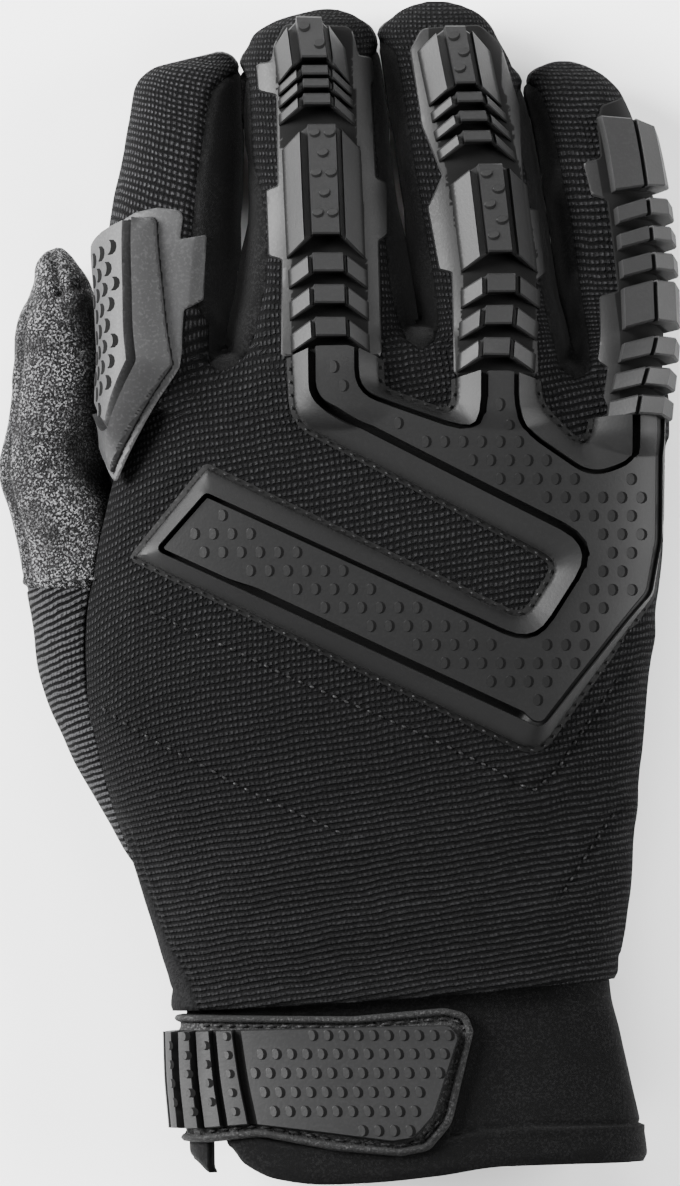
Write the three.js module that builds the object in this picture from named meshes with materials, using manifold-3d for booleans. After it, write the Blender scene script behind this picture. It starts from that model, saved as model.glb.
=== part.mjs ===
// Right-hand tactical glove lying palm down: fingers along +Y, thumb on the -X side, back of the hand up.
// Every cloth and leather piece is a thin wall round an open hollow, and the rubber guards lie on top of it.
// Millimetres, +Z up, the surface that the glove lies on at Z = 0.
import * as THREE from "three";
import { mergeVertices } from "three/addons/utils/BufferGeometryUtils.js";
import Module from "manifold-3d";

const wasm = await Module();
wasm.setup();

// Driving dimensions
const CLOTH = 2; // wall of the knit, fourchettes and palm leather
const NEOPRENE = 2.5; // wall of the cuff
const GAP = 0.3; // clearance between neighbouring pieces
const BAND = 1.6; // thickness of the wrist strap's band
const STRAP_RUBBER = 2.4; // thickness of the moulded plate on the strap
const FLANGE = 1.1; // height of a guard's thin sewn edge above the cloth
const GUARD_FLOOR = 2.2; // height of the floor of a guard's groove
const GUARD_PLATEAU = 3.8; // height of a guard's dimpled centre
const GUARD_RIM = 4.3; // height of the crest of a guard's bevelled rim
const FLANGE_WIDTH = 2; // how far a flange reaches past the rim
const GROOVE = 1.2; // width of the groove between rim and centre
const BLOCK_ROOT = 1.5; // how far a block's first shape reaches into the cloth before it is cut back
const TIP_ROUND = 12; // length of a fingertip that a change of wall also moves lengthwise
const SIDES = { hand: 24, finger: 12, thumb: 12, cuff: 20 }; // corners of each section
const FAR = 200; // reach of a cutting prism
const PAST = 8; // how far a hollow is carried past an open end
const CORNER_STEPS = 2; // segments of a rounded corner

const table = (columns, rows) =>
  rows.map((row) => Object.fromEntries(columns.split(" ").map((name, i) => [name, row[i]])));

// Sections across the glove, each in a plane of constant Y. round is the superellipse's power,
// tuck moves the lower part of the -X side inwards.
const HAND = {
  sides: SIDES.hand,
  round: 2.5,
  rows: table("y left right bottom top tuck", [
    [-92, -34.4, 54.6, 3, 33.6, 0],
    [-81.5, -35.2, 56.6, 2.4, 34, 0],
    [-74.3, -37.4, 58.2, 0.8, 34.4, 0],
    [-63.9, -40.2, 59.6, -0.8, 35, 0],
    [-53.5, -43.2, 60.3, -1.6, 35.6, 0],
    [-43, -47, 61.2, -1.6, 36.2, 0],
    [-30.6, -50.4, 62.4, -0.6, 37, 0],
    [-18, -52.2, 63.6, 2, 37.6, 0],
    [-5.6, -52.4, 65, 3.6, 38, 1],
    [7, -50.6, 66.6, 5, 38, 4],
    [19.3, -49.6, 67.2, 6.2, 37.8, 7],
    [33.9, -49.4, 67.5, 7, 37.2, 8],
    [44.3, -49.2, 67.4, 7.4, 35.6, 8],
    [50, -47.6, 66.2, 9, 33, 8],
    [53.4, -43, 62, 13, 28, 4],
  ]),
};
const FINGER_COLUMNS = "y middle half bottom top";
const finger = (rows) => ({ sides: SIDES.finger, round: 2.4, rows: table(FINGER_COLUMNS, rows) });
const FINGERS = {
  index: finger([
    [38, -36.6, 11.4, 8, 34],
    [52, -36.6, 11.6, 7, 32.5],
    [63, -35.5, 12.8, 5.5, 30.6],
    [73.4, -34.7, 13.6, 4, 28.4],
    [81.3, -33.6, 13.1, 2.6, 26.4],
    [90.1, -32.6, 12.2, 0.6, 24.2],
    [99.8, -32.2, 11.4, -0.8, 21.8],
    [105.7, -31.9, 10.4, 0.4, 19.8],
    [109.6, -31.6, 8.2, 2.6, 17],
    [111.7, -31.2, 3.8, 6, 13],
  ]),
  middle: finger([
    [38, -3.2, 18, 8.6, 36.4],
    [51.6, -3.4, 19.2, 7.6, 34.6],
    [63, -3.2, 17.8, 6, 32.4],
    [76.5, -3.3, 15.8, 4, 29.8],
    [86.9, -4, 15, 2.6, 27.6],
    [95.5, -4.8, 14.8, 1, 25.6],
    [103.6, -5.6, 14.4, -0.6, 23.6],
    [110.9, -6, 13.8, -0.8, 21.6],
    [116, -6.2, 11.8, 0.6, 19.2],
    [119.2, -5.2, 8.2, 3, 16.4],
    [120.8, -3.6, 4, 6, 13.2],
  ]),
  ring: finger([
    [38, 32.8, 14.6, 8.4, 35.8],
    [51.6, 32.5, 14.8, 7.4, 34],
    [63, 30.5, 14.2, 5.8, 31.8],
    [76.5, 28.4, 14.3, 3.8, 29.2],
    [86.9, 26.6, 14.2, 2.4, 27],
    [95.5, 25.4, 14, 1.2, 25],
    [103.6, 24.1, 13.6, -0.6, 23],
    [110.9, 22.5, 12.9, -0.8, 21],
    [117.1, 20.4, 10.8, 0.8, 18.4],
    [120.8, 20.4, 7.6, 3.4, 15.8],
    [122.7, 20.4, 3.6, 6.2, 13],
  ]),
  little: finger([
    [38, 57.6, 9.4, 8.2, 32.6],
    [50.5, 57.8, 9.2, 7, 31],
    [63, 56.5, 10.4, 5.2, 28.8],
    [76.5, 55, 10.9, 3.4, 26.4],
    [86.9, 53.5, 10.5, 2, 24.2],
    [96.3, 51.6, 10.2, -0.6, 22],
    [103.6, 48.9, 9.2, 0.2, 19.6],
    [107.7, 47.2, 7, 2.4, 17],
    [110, 46.4, 2.8, 5.8, 13],
  ]),
};
const THUMB = {
  sides: SIDES.thumb,
  round: 2.4,
  rows: table(FINGER_COLUMNS, [
    [-64, -32, 5, 8, 24],
    [-54, -35.6, 8, 3, 28],
    [-43, -39.5, 10.6, 0.4, 30],
    [-30.6, -44, 13.2, -0.6, 30],
    [-16.6, -48.5, 14.3, -0.8, 29],
    [-1, -51.4, 13.7, -0.6, 27.6],
    [12.7, -55.3, 11.8, -0.2, 25.4],
    [26, -59.3, 10.8, 0, 23.4],
    [37.6, -58.5, 9.8, -0.4, 22.6],
    [47.8, -58.4, 9.2, -0.6, 21.8],
    [56.8, -58.2, 8.4, 0.4, 20.8],
    [64.1, -57.8, 6.2, 2.6, 18.4],
    [68.8, -58.2, 4, 5, 16],
    [71.8, -58.9, 1.6, 8, 13],
  ]),
};
const CUFF = {
  sides: SIDES.cuff,
  round: 2.4,
  rows: table("y left right bottom top tuck", [
    [-126, -31.6, 64.4, 2.8, 34.4, 0],
    [-112, -32.2, 62.8, 3, 33.4, 0],
    [-101.3, -32.6, 60.4, 3.2, 32.2, 0],
    [-92, -32.2, 57.2, 4.8, 31.2, 0],
    [-82, -32.4, 53.8, 5, 30.8, 0],
    [-75, -33, 54, 5, 31, 0],
  ]),
};

// Heights along the glove at which the back meets the palm.
const SEAM = table("y z", [
  [-95, 16],
  [0, 17],
  [40, 19],
  [55, 18],
  [80, 14],
  [100, 11],
  [126, 9.6],
]);
// Lower edge of the hand's back and palm, and of the cuff, seen from above.
const HEM = [
  [-70, -87],
  [-28, -86.3],
  [80, -78.4],
];
const CUFF_EDGE = [
  [-60, -119.4],
  [-23.6, -117],
  [-13, -121],
  [-2, -122.4],
  [14, -121],
  [34, -118.8],
  [80, -117.6],
];
const THUMB_LEATHER_EDGE = 1; // Y where the thumb's leather ends and its knit gusset starts

// Slits between neighbouring fingers, from the crotch to the tip. reach is half the fourchette's width.
const SLITS = {
  index_middle: table("y x reach", [
    [47, -25, 4],
    [52, -24.2, 8],
    [63, -22.2, 8.5],
    [76.5, -20.2, 8.5],
    [95.5, -20.1, 7.5],
    [108, -20.6, 5],
  ]),
  middle_ring: table("y x reach", [
    [47, 17.6, 4],
    [52, 16.8, 8],
    [63, 15.4, 8.5],
    [76.5, 13.3, 8],
    [95.5, 10.7, 7],
    [114, 8.8, 5],
  ]),
  ring_little: table("y x reach", [
    [45, 49.2, 4],
    [51, 48, 7.5],
    [63, 45.5, 8],
    [76.5, 43.4, 8],
    [95.5, 40.3, 7],
    [105, 38.8, 5],
  ]),
};
const FOURCHETTE_BELOW = 6; // from the seam height down
const FOURCHETTE_ABOVE = 7.5; // and up

// Outlines of the guards seen from above, as corners with a radius.
const corner = (rows) => table("x y r", rows);
const KNUCKLE_OUTLINE = corner([
  [-27.5, 25.6, 0.5],
  [38.1, -6, 4.6],
  [45.8, 6.4, 4],
  [-9.2, 35.6, 8],
  [-10.6, 51.4, 0.2],
  [7.5, 51.4, 0.2],
  [8.1, 41.8, 3],
  [24.3, 35.8, 3.8],
  [24.1, 51.4, 0.2],
  [39.7, 51.4, 0.2],
  [40.6, 39.1, 4],
  [51.6, 28.1, 3.4],
  [56, 51.4, 0.2],
  [67.8, 51.4, 0.2],
  [66.8, 15, 20],
  [64.9, -0.4, 6],
  [40.8, -33.1, 5.2],
  [-42.2, 7.5, 0.6],
]);
const KNUCKLE_CENTRE = corner([
  [-36.2, 9.2, 0.3],
  [-27.2, 19.6, 0.3],
  [40.1, -11.4, 8],
  [53.5, 10, 8],
  [-5.4, 39.9, 5.4],
  [-5.6, 51.4, 0.2],
  [2.7, 51.4, 0.2],
  [2.9, 41, 7],
  [30.2, 31.6, 6.2],
  [30, 51.4, 0.2],
  [35.8, 51.4, 0.2],
  [35.8, 34.5, 6],
  [51.6, 23.9, 5],
  [60.7, 27.2, 5.6],
  [61, 51.4, 0.2],
  [65.5, 51.4, 0.2],
  [64.9, 11, 12],
  [63.4, 0.6, 4],
  [41.2, -26.8, 1.6],
]);
const INDEX_OUTLINE = corner([
  [-56, 76.2, 0.5],
  [-40.4, 79.4, 3],
  [-37.4, 77, 3],
  [-35, 48.6, 0.6],
  [-47, 24, 0.4],
  [-52, 26, 0.4],
  [-56, 50, 0.4],
]);
const INDEX_CENTRE = corner([
  [-60, 73.4, 0.3],
  [-45, 73.4, 0.3],
  [-42.6, 48, 0.3],
  [-48.4, 35.8, 0.3],
  [-60, 35.8, 0.3],
]);
const GUARD_LOWEST = 20.5; // no guard of the hand reaches below this height
const STRAP_OUTLINE = corner([
  [-60, -88, 0.5],
  [28.6, -86.6, 3.4],
  [29.6, -91, 2],
  [15.6, -116.2, 4],
  [10, -116.8, 3],
  [-20, -113.2, 12],
  [-60, -114, 0.5],
]);
const STRAP_PLATE = corner([
  [-60, -90.8, 0.5],
  [24, -89.6, 3],
  [25.2, -92.4, 1.4],
  [12.6, -113.2, 2],
  [9, -113.4, 2],
  [-19, -110.4, 10],
  [-60, -111, 0.5],
]);
const STRAP_MIDDLE = 17; // height where the strap turns from the back to the palm side
const STRAP_PALM_END = -12; // X where its sewn end lies under the wrist
const STRAP_RIBS = table("x width", [
  [-36.4, 1.5],
  [-33.4, 1.5],
  [-29.6, 1.7],
  [-25.2, 1.8],
]); // grooves between the ribs at the strap's turn

// Y where each lobe of the knuckle guard ends and the guard of its finger begins, and X between the lobes
const LOBE_ENDS = { middle: 50.6, ring: 45.4, little: 36.7 };
const LOBE_GAPS = [16, 48];

// Guards of the three long-railed fingers. turn is the angle of their middle from the glove's right,
// and segments run from the knuckle to the tip, each with the height that its ends drop at the sides.
const RAILS = {
  middle: {
    turn: 88,
    flange: 8.6,
    block: 7.6,
    reach: [LOBE_ENDS.middle + GAP, 117.4],
    segments: table("from to drop", [
      [53.5, 57.4, 3.2],
      [60.3, 64, 3.2],
      [66.8, 70.5, 3.2],
      [74.5, 97.1, 4.2],
      [101.5, 103.6, 3.6],
      [105, 106.7, 3.6],
      [107.7, 109.5, 3.6],
      [111.3, 118.6, 4.6],
    ]),
  },
  ring: {
    turn: 82,
    flange: 8.4,
    block: 7.4,
    reach: [LOBE_ENDS.ring + GAP, 115.8],
    segments: table("from to drop", [
      [48.9, 52.8, 3],
      [55.5, 59.5, 3],
      [62, 66.1, 3],
      [70.5, 88.8, 3.6],
      [93.6, 95.9, 3.2],
      [97.9, 100, 3.2],
      [101.7, 104, 3.2],
      [105.7, 117, 3.6],
    ]),
  },
  little: {
    turn: 42,
    flange: 8,
    block: 6.8,
    reach: [LOBE_ENDS.little + GAP, 102],
    segments: table("from to drop", [
      [37.4, 41, 1.2],
      [43.5, 47, 1.2],
      [49.3, 52.8, 1.2],
      [55.7, 64.3, 1.2],
      [66.6, 70.1, 1.2],
      [72.4, 75.5, 1.2],
      [77.8, 81.3, 1.2],
      [83, 100.3, 1.2],
    ]),
  },
};
const ACROSS = [-1, -0.45, -0.4, 0.4, 0.45, 1]; // columns across a rail's block, as a share of its half width

const COLOURS = {
  knit: [0x1b1b1c, 0.92],
  stretch: [0x151516, 0.85],
  leather: [0x242425, 0.8],
  neoprene: [0x131313, 0.9],
  rubber: [0x37383a, 0.55],
  webbing: [0x222223, 0.9],
};

// Values of a table at any Y, straight between its rows.
function at(rows, y) {
  if (y <= rows[0].y) return { ...rows[0], y };
  const last = rows[rows.length - 1];
  if (y >= last.y) return { ...last, y };
  const k = rows.findIndex((row) => row.y > y) - 1;
  const share = (y - rows[k].y) / (rows[k + 1].y - rows[k].y);
  return Object.fromEntries(
    Object.keys(rows[0]).map((name) => [name, rows[k][name] + share * (rows[k + 1][name] - rows[k][name])]),
  );
}

const power = (value, exponent) => Math.sign(value) * Math.abs(value) ** exponent;

// A section's centre and half sizes, grown by so many millimetres.
function sizes(row, grow) {
  const middle = row.middle ?? (row.left + row.right) / 2;
  const half = Math.max((row.half ?? (row.right - row.left) / 2) + grow, 0.5);
  const widest = row.bottom + 0.46 * (row.top - row.bottom);
  const up = Math.max(row.top + grow - widest, 0.5);
  const down = Math.max(widest - row.bottom + grow, 0.5);
  return { middle, half, widest, up, down, tuck: row.tuck ?? 0 };
}

// The point of a section at an angle counted from +X towards +Z.
function onSection(row, angle, grow, round) {
  const { middle, half, widest, up, down, tuck } = sizes(row, grow);
  const [c, s] = [Math.cos(angle), Math.sin(angle)];
  const shift = (tuck * (1 - c) * (1 - s)) / 4;
  return new THREE.Vector3(
    middle + half * power(c, 2 / round) + shift,
    row.y,
    widest + (s > 0 ? up : down) * power(s, 2 / round),
  );
}

// A closed solid from a geometry's triangles.
function solid(geometry) {
  const loose = geometry.index ? geometry.toNonIndexed() : geometry;
  const bare = new THREE.BufferGeometry().setAttribute("position", loose.getAttribute("position"));
  const merged = mergeVertices(bare, 1e-4);
  const triVerts = new Uint32Array(merged.index.array);
  const vertProperties = merged.attributes.position.array;
  return new wasm.Manifold(new wasm.Mesh({ numProp: 3, vertProperties, triVerts }));
}

function solidFromTriangles(points, triangles) {
  const geometry = new THREE.BufferGeometry().setFromPoints(points);
  geometry.setIndex(triangles);
  return solid(geometry);
}

// Joins rings of as many points each into a closed body, with a fan over each end.
function skin(rings) {
  const count = rings[0].length;
  const points = rings.flat();
  const triangles = [];
  for (let j = 0; j + 1 < rings.length; j++)
    for (let k = 0; k < count; k++) {
      const next = (k + 1) % count;
      const [a, b] = [j * count + k, (j + 1) * count + k];
      const [c, d] = [(j + 1) * count + next, j * count + next];
      triangles.push(a, b, c, a, c, d);
    }
  const centre = (ring) => ring.reduce((sum, p) => sum.add(p), new THREE.Vector3()).divideScalar(count);
  const [first, last] = [points.length, points.length + 1];
  points.push(centre(rings[0]), centre(rings[rings.length - 1]));
  const end = (rings.length - 1) * count;
  for (let k = 0; k < count; k++) {
    const next = (k + 1) % count;
    triangles.push(first, k, next, last, end + next, end + k);
  }
  return solidFromTriangles(points, triangles);
}

// A finger, thumb, hand or cuff as a closed body, grown by so many millimetres. Its first and last
// sections are carried on by before and after, so that a hollow cut with it stays open at that end.
function tube({ rows, sides, round }, grow, before = 0, after = 0) {
  const tip = rows[rows.length - 1].y;
  const rings = rows.map((row, i) => {
    const share = THREE.MathUtils.clamp((row.y - tip + TIP_ROUND) / TIP_ROUND, 0, 1);
    const y = row.y + share * grow - (i === 0 ? before : 0) + (i === rows.length - 1 ? after : 0);
    return Array.from({ length: sides }, (_, k) =>
      onSection({ ...row, y }, (2 * Math.PI * k) / sides, grow, round),
    );
  });
  return skin(rings);
}

const join = (solids) => solids.reduce((sum, next) => sum.add(next));
const biggest = (shape) => shape.decompose().reduce((a, b) => (a.volume() > b.volume() ? a : b));

// A closed outline with its corners rounded.
function rounded(corners) {
  const shape = new THREE.Shape();
  corners.forEach((here, i) => {
    const p = new THREE.Vector2(here.x, here.y);
    const before = corners[(i + corners.length - 1) % corners.length];
    const after = corners[(i + 1) % corners.length];
    const back = new THREE.Vector2(before.x, before.y).sub(p);
    const on = new THREE.Vector2(after.x, after.y).sub(p);
    const turn = back.clone().normalize().dot(on.clone().normalize());
    const half = Math.acos(THREE.MathUtils.clamp(turn, -1, 1)) / 2;
    const length = Math.min(here.r / Math.tan(half), back.length() * 0.49, on.length() * 0.49);
    const start = p.clone().add(back.setLength(length));
    const end = p.clone().add(on.setLength(length));
    if (i === 0) shape.moveTo(start.x, start.y);
    else shape.lineTo(start.x, start.y);
    shape.quadraticCurveTo(p.x, p.y, end.x, end.y);
  });
  shape.closePath();
  return shape;
}

// Moves every side of an outline outwards, or inwards where the distance is negative.
function grown(corners, distance) {
  const area = corners.reduce((sum, a, i) => {
    const b = corners[(i + 1) % corners.length];
    return sum + a.x * b.y - b.x * a.y;
  }, 0);
  const out = distance * Math.sign(area);
  return corners.map((here, i) => {
    const before = corners[(i + corners.length - 1) % corners.length];
    const after = corners[(i + 1) % corners.length];
    const a = new THREE.Vector2(here.y - before.y, before.x - here.x).normalize();
    const b = new THREE.Vector2(after.y - here.y, here.x - after.x).normalize();
    const mitre = a.clone().add(b).normalize();
    mitre.multiplyScalar(out / Math.max(mitre.dot(a), 0.5));
    return { x: here.x + mitre.x, y: here.y + mitre.y, r: Math.max(here.r, 0.3) };
  });
}

// An outline seen from above, carried up from one height to another.
function standing(shape, from = -FAR, to = FAR) {
  const geometry = new THREE.ExtrudeGeometry(shape, {
    depth: to - from,
    bevelEnabled: false,
    curveSegments: CORNER_STEPS,
  });
  geometry.translate(0, 0, from);
  return solid(geometry);
}

const polygon = (points) => new THREE.Shape(points.map(([x, y]) => new THREE.Vector2(x, y)));

// Everything above a line of heights along the glove, or between two of them.
function aboveSeam(shift, ceiling = null) {
  const low = SEAM.map(({ y, z }) => [y, z + shift]);
  const high = SEAM.map(({ y, z }) => [y, ceiling === null ? FAR : z + ceiling]).reverse();
  const geometry = new THREE.ExtrudeGeometry(polygon([...low, ...high]), {
    depth: 2 * FAR,
    bevelEnabled: false,
  });
  geometry.translate(0, 0, -FAR);
  const turn = new THREE.Matrix4().makeBasis(
    new THREE.Vector3(0, 1, 0),
    new THREE.Vector3(0, 0, 1),
    new THREE.Vector3(1, 0, 0),
  );
  return solid(geometry.applyMatrix4(turn));
}

// The strip round the slit between two fingers.
function slitStrip(rows, extra) {
  const left = rows.map(({ y, x, reach }, i) => [x - reach - extra, y - (i === 0 ? extra : 0)]);
  const right = rows.map(({ y, x, reach }, i) => [x + reach + extra, y - (i === 0 ? extra : 0)]).reverse();
  return standing(polygon([...left, ...right]));
}

// The whole hand with its fingers as one body, grown by so many millimetres
const handBody = (grow, before = 0) =>
  join([tube(HAND, grow, before), ...Object.values(FINGERS).map((f) => tube(f, grow))]);
const ground = polygon([[-FAR, -FAR], [FAR, -FAR], [FAR, FAR], [-FAR, FAR]]);
const clothBody = handBody(0).intersect(standing(ground, 0));
const clearOfCloth = handBody(GAP);
const hollow = join([handBody(-CLOTH, PAST), tube(THUMB, -CLOTH)]).intersect(standing(ground, CLOTH));

const keepAboveHem = standing(polygon([...HEM, [80, FAR], [-70, FAR]]));
const wall = clothBody.subtract(hollow).intersect(keepAboveHem);

// Knit back, palm leather and the fourchettes between the fingers
function fourchette(rows) {
  const strip = slitStrip(rows, 0).intersect(aboveSeam(-FOURCHETTE_BELOW, FOURCHETTE_ABOVE));
  return biggest(wall.intersect(strip));
}
const slitCuts = join(
  Object.values(SLITS).map((rows) =>
    slitStrip(rows, GAP).intersect(aboveSeam(-FOURCHETTE_BELOW - GAP, FOURCHETTE_ABOVE + GAP)),
  ),
);
const panels = wall.subtract(slitCuts);
const backPanel = biggest(panels.intersect(aboveSeam(GAP / 2)));
const palmPanel = biggest(panels.subtract(aboveSeam(-GAP / 2)));

// The thumb is set into the side of the hand: leather to its tip, knit gusset at its root.
const thumbBody = tube(THUMB, 0).intersect(standing(ground, 0));
const thumbWall = thumbBody.subtract(hollow).subtract(clearOfCloth);
const above = (y) => standing(polygon([[-FAR, y], [FAR, y], [FAR, FAR], [-FAR, FAR]]));
const thumbLeather = biggest(thumbWall.intersect(above(THUMB_LEATHER_EDGE + GAP / 2)));
const thumbGusset = biggest(thumbWall.subtract(above(THUMB_LEATHER_EDGE - GAP / 2)));

// Neoprene cuff with the slit that the strap closes
const cuffTube = tube(CUFF, 0).subtract(tube(CUFF, -NEOPRENE, PAST, PAST));
const cuffFoot = standing(polygon([...CUFF_EDGE, [80, FAR], [-60, FAR]]));
const cuffSlit = standing(polygon([[-25.6, -FAR], [-23.4, -FAR], [-23.4, -93], [-25.6, -93]]), STRAP_MIDDLE);
const cuff = biggest(cuffTube.intersect(cuffFoot).subtract(cuffSlit));

// Wrist strap: a band round the thumb side of the cuff, and the moulded rubber plate on it
const strapLayer = (from, to) => tube(CUFF, to).subtract(tube(CUFF, from, PAST, PAST));
const strapOver = standing(rounded(STRAP_OUTLINE), STRAP_MIDDLE);
const strapUnder = standing(
  polygon([[-60, -112.6], [STRAP_PALM_END, -112.6], [STRAP_PALM_END, -89.2], [-60, -89.2]]),
  -FAR,
  STRAP_MIDDLE + 0.5,
);
const strapBand = biggest(
  strapLayer(GAP, GAP + BAND)
    .intersect(strapOver.add(strapUnder))
    .subtract(clearOfCloth),
);
const plateFoot = 2 * GAP + BAND;
const ribGrooves = join(
  STRAP_RIBS.map(({ x, width }) =>
    standing(polygon([[x, -FAR], [x + width, -FAR], [x + width, FAR], [x, FAR]])).intersect(
      strapLayer(plateFoot + 1, plateFoot + STRAP_RUBBER + 2),
    ),
  ),
);
const strapPlate = biggest(
  strapLayer(plateFoot, plateFoot + STRAP_RUBBER)
    .intersect(standing(rounded(STRAP_PLATE), STRAP_MIDDLE - 2))
    .subtract(ribGrooves)
    .subtract(clearOfCloth),
);

// A moulded guard on the hand: thin flange, bevelled rim, groove, and centre.
function guard(outline, centre, cut) {
  const on = (corners, height) => standing(rounded(corners), GUARD_LOWEST).intersect(handBody(height));
  const rim = on(outline, GUARD_RIM).subtract(standing(rounded(grown(centre, GROOVE))));
  const parts = [
    on(grown(outline, FLANGE_WIDTH), FLANGE),
    on(outline, GUARD_FLOOR),
    rim,
    on(centre, GUARD_PLATEAU).intersect(standing(rounded(outline))),
  ];
  const made = join(parts).subtract(clearOfCloth);
  return biggest(made.subtract(cut));
}
const pastLobes = standing(
  polygon([
    [-FAR, LOBE_ENDS.middle],
    [LOBE_GAPS[0], LOBE_ENDS.middle],
    [LOBE_GAPS[0], LOBE_ENDS.ring],
    [LOBE_GAPS[1], LOBE_ENDS.ring],
    [LOBE_GAPS[1], LOBE_ENDS.little],
    [FAR, LOBE_ENDS.little],
    [FAR, FAR],
    [-FAR, FAR],
  ]),
);
const knuckleGuard = guard(KNUCKLE_OUTLINE, KNUCKLE_CENTRE, pastLobes);
const indexGuard = guard(INDEX_OUTLINE, INDEX_CENTRE, tube(THUMB, 2 * GAP));

// A point on a finger, so far across from its rail's middle, with a height above the cloth.
function onFinger(form, turn, y, across, height) {
  const row = at(form.rows, y);
  const { half, up } = sizes(row, 0);
  const angle = THREE.MathUtils.degToRad(turn) - across / ((half + up) / 2 + 1);
  return onSection(row, angle, height, form.round);
}

// A curved block on a finger, with its underside below the cloth's surface.
function block(form, turn, columns, rows, height) {
  const points = [];
  const count = columns.length;
  for (const top of [true, false])
    for (const y of rows)
      for (const [across, drop, rise] of columns)
        points.push(onFinger(form, turn, y - drop, across, top ? height + rise : -BLOCK_ROOT));
  const layer = rows.length * count;
  const triangles = [];
  const quad = (a, b, c, d) => triangles.push(a, b, c, a, c, d);
  for (let j = 0; j + 1 < rows.length; j++) {
    for (let i = 0; i + 1 < count; i++) {
      const [a, b] = [j * count + i, j * count + i + 1];
      quad(a, b, b + count, a + count);
      quad(layer + a, layer + a + count, layer + b + count, layer + b);
    }
    const [left, right] = [j * count, j * count + count - 1];
    quad(left, left + count, layer + left + count, layer + left);
    quad(right + count, right, layer + right, layer + right + count);
  }
  for (let i = 0; i + 1 < count; i++) {
    const [near, far] = [i, (rows.length - 1) * count + i];
    quad(near + 1, near, layer + near, layer + near + 1);
    quad(far, far + 1, layer + far + 1, layer + far);
  }
  return solidFromTriangles(points, triangles);
}

// A finger's guard: a thin flange with raised segments, bevelled at both sides.
function rail(form, { turn, flange, block: half, reach, segments }) {
  const strip = [-1, -0.5, 0, 0.5, 1].map((share) => [share * flange, 0, 0]);
  const along = (from, to, step) => {
    const count = Math.max(1, Math.ceil((to - from) / step));
    return Array.from({ length: count + 1 }, (_, k) => from + ((to - from) * k) / count);
  };
  const parts = [block(form, turn, strip, along(reach[0], reach[1], 8), FLANGE)];
  for (const { from, to, drop } of segments) {
    const columns = ACROSS.map((share) => [
      share * half,
      drop * Math.max(0, Math.abs(share) - 0.4) / 0.6,
      Math.abs(share) === 1 ? GUARD_FLOOR - GUARD_RIM : 0,
    ]);
    parts.push(block(form, turn, columns, along(from, to, 8), GUARD_RIM));
  }
  return biggest(join(parts).subtract(clearOfCloth).intersect(above(reach[0])));
}

// The scene graph
const group = new THREE.Group();
function add(name, shape, look) {
  const { numProp, vertProperties, triVerts, numVert } = shape.getMesh();
  const position = new Float32Array(numVert * 3);
  for (let i = 0; i < numVert; i++) {
    const first = i * numProp;
    position.set(vertProperties.subarray(first, first + 3), i * 3);
  }
  const geometry = new THREE.BufferGeometry();
  geometry.setAttribute("position", new THREE.BufferAttribute(position, 3));
  geometry.setIndex(new THREE.BufferAttribute(triVerts, 1));
  const [color, roughness] = COLOURS[look];
  const mesh = new THREE.Mesh(geometry, new THREE.MeshStandardMaterial({ color, roughness, metalness: 0 }));
  mesh.name = name;
  group.add(mesh);
}

add("back_panel", backPanel, "knit");
add("palm_panel", palmPanel, "leather");
for (const [name, rows] of Object.entries(SLITS)) add(`fourchette_${name}`, fourchette(rows), "stretch");
add("thumb_leather", thumbLeather, "leather");
add("thumb_gusset", thumbGusset, "knit");
add("cuff", cuff, "neoprene");
add("strap_band", strapBand, "webbing");
add("strap_plate", strapPlate, "rubber");
add("knuckle_guard", knuckleGuard, "rubber");
add("index_guard", indexGuard, "rubber");
for (const [name, shape] of Object.entries(RAILS))
  add(`${name}_guard`, rail(FINGERS[name], shape), "rubber");

// The origin is under the middle of the glove, on the surface that it lies on.
const box = new THREE.Box3().setFromObject(group);
const middle = box.getCenter(new THREE.Vector3());
group.position.set(-middle.x, -middle.y, -box.min.z);

export default group;
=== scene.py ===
"""Looks of a right-hand glove with moulded guards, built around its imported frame.

Sizes inside the functions are millimetres in the row's frame: fingers along +Y, thumb on the -X side.
"""
import math
from functools import lru_cache

import bpy
import numpy as np
from bpy.props import FloatProperty, FloatVectorProperty, PointerProperty
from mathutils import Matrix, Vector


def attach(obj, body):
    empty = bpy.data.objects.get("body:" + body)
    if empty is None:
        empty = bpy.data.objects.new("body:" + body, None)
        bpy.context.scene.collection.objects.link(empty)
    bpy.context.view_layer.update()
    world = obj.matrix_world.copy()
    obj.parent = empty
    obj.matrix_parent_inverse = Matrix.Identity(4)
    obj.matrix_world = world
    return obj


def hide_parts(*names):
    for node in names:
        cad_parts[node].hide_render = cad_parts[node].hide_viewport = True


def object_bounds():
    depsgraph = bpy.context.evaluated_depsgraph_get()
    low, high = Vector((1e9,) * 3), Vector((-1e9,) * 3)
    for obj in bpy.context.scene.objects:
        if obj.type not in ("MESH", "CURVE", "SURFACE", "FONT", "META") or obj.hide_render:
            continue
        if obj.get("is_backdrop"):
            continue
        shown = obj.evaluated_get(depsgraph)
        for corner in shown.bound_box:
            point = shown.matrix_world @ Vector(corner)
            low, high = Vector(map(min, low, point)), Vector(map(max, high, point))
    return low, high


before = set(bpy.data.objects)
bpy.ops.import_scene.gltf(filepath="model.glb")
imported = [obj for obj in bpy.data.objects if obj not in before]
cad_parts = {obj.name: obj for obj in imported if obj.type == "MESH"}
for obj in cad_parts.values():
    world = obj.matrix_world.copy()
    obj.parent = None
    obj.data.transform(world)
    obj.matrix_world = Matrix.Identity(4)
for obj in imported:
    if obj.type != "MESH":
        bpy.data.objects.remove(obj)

bl_info = {
    "name": "Guarded glove",
    "version": (1, 0, 0),
    "blender": (4, 5, 0),
    "location": "View3D > Sidebar > Glove",
    "description": "Builds a knit and leather glove with moulded rubber guards",
    "category": "Add Mesh",
}

CAD_LOW, CAD_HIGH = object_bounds()
M = 0.001  # metres in a millimetre

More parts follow.
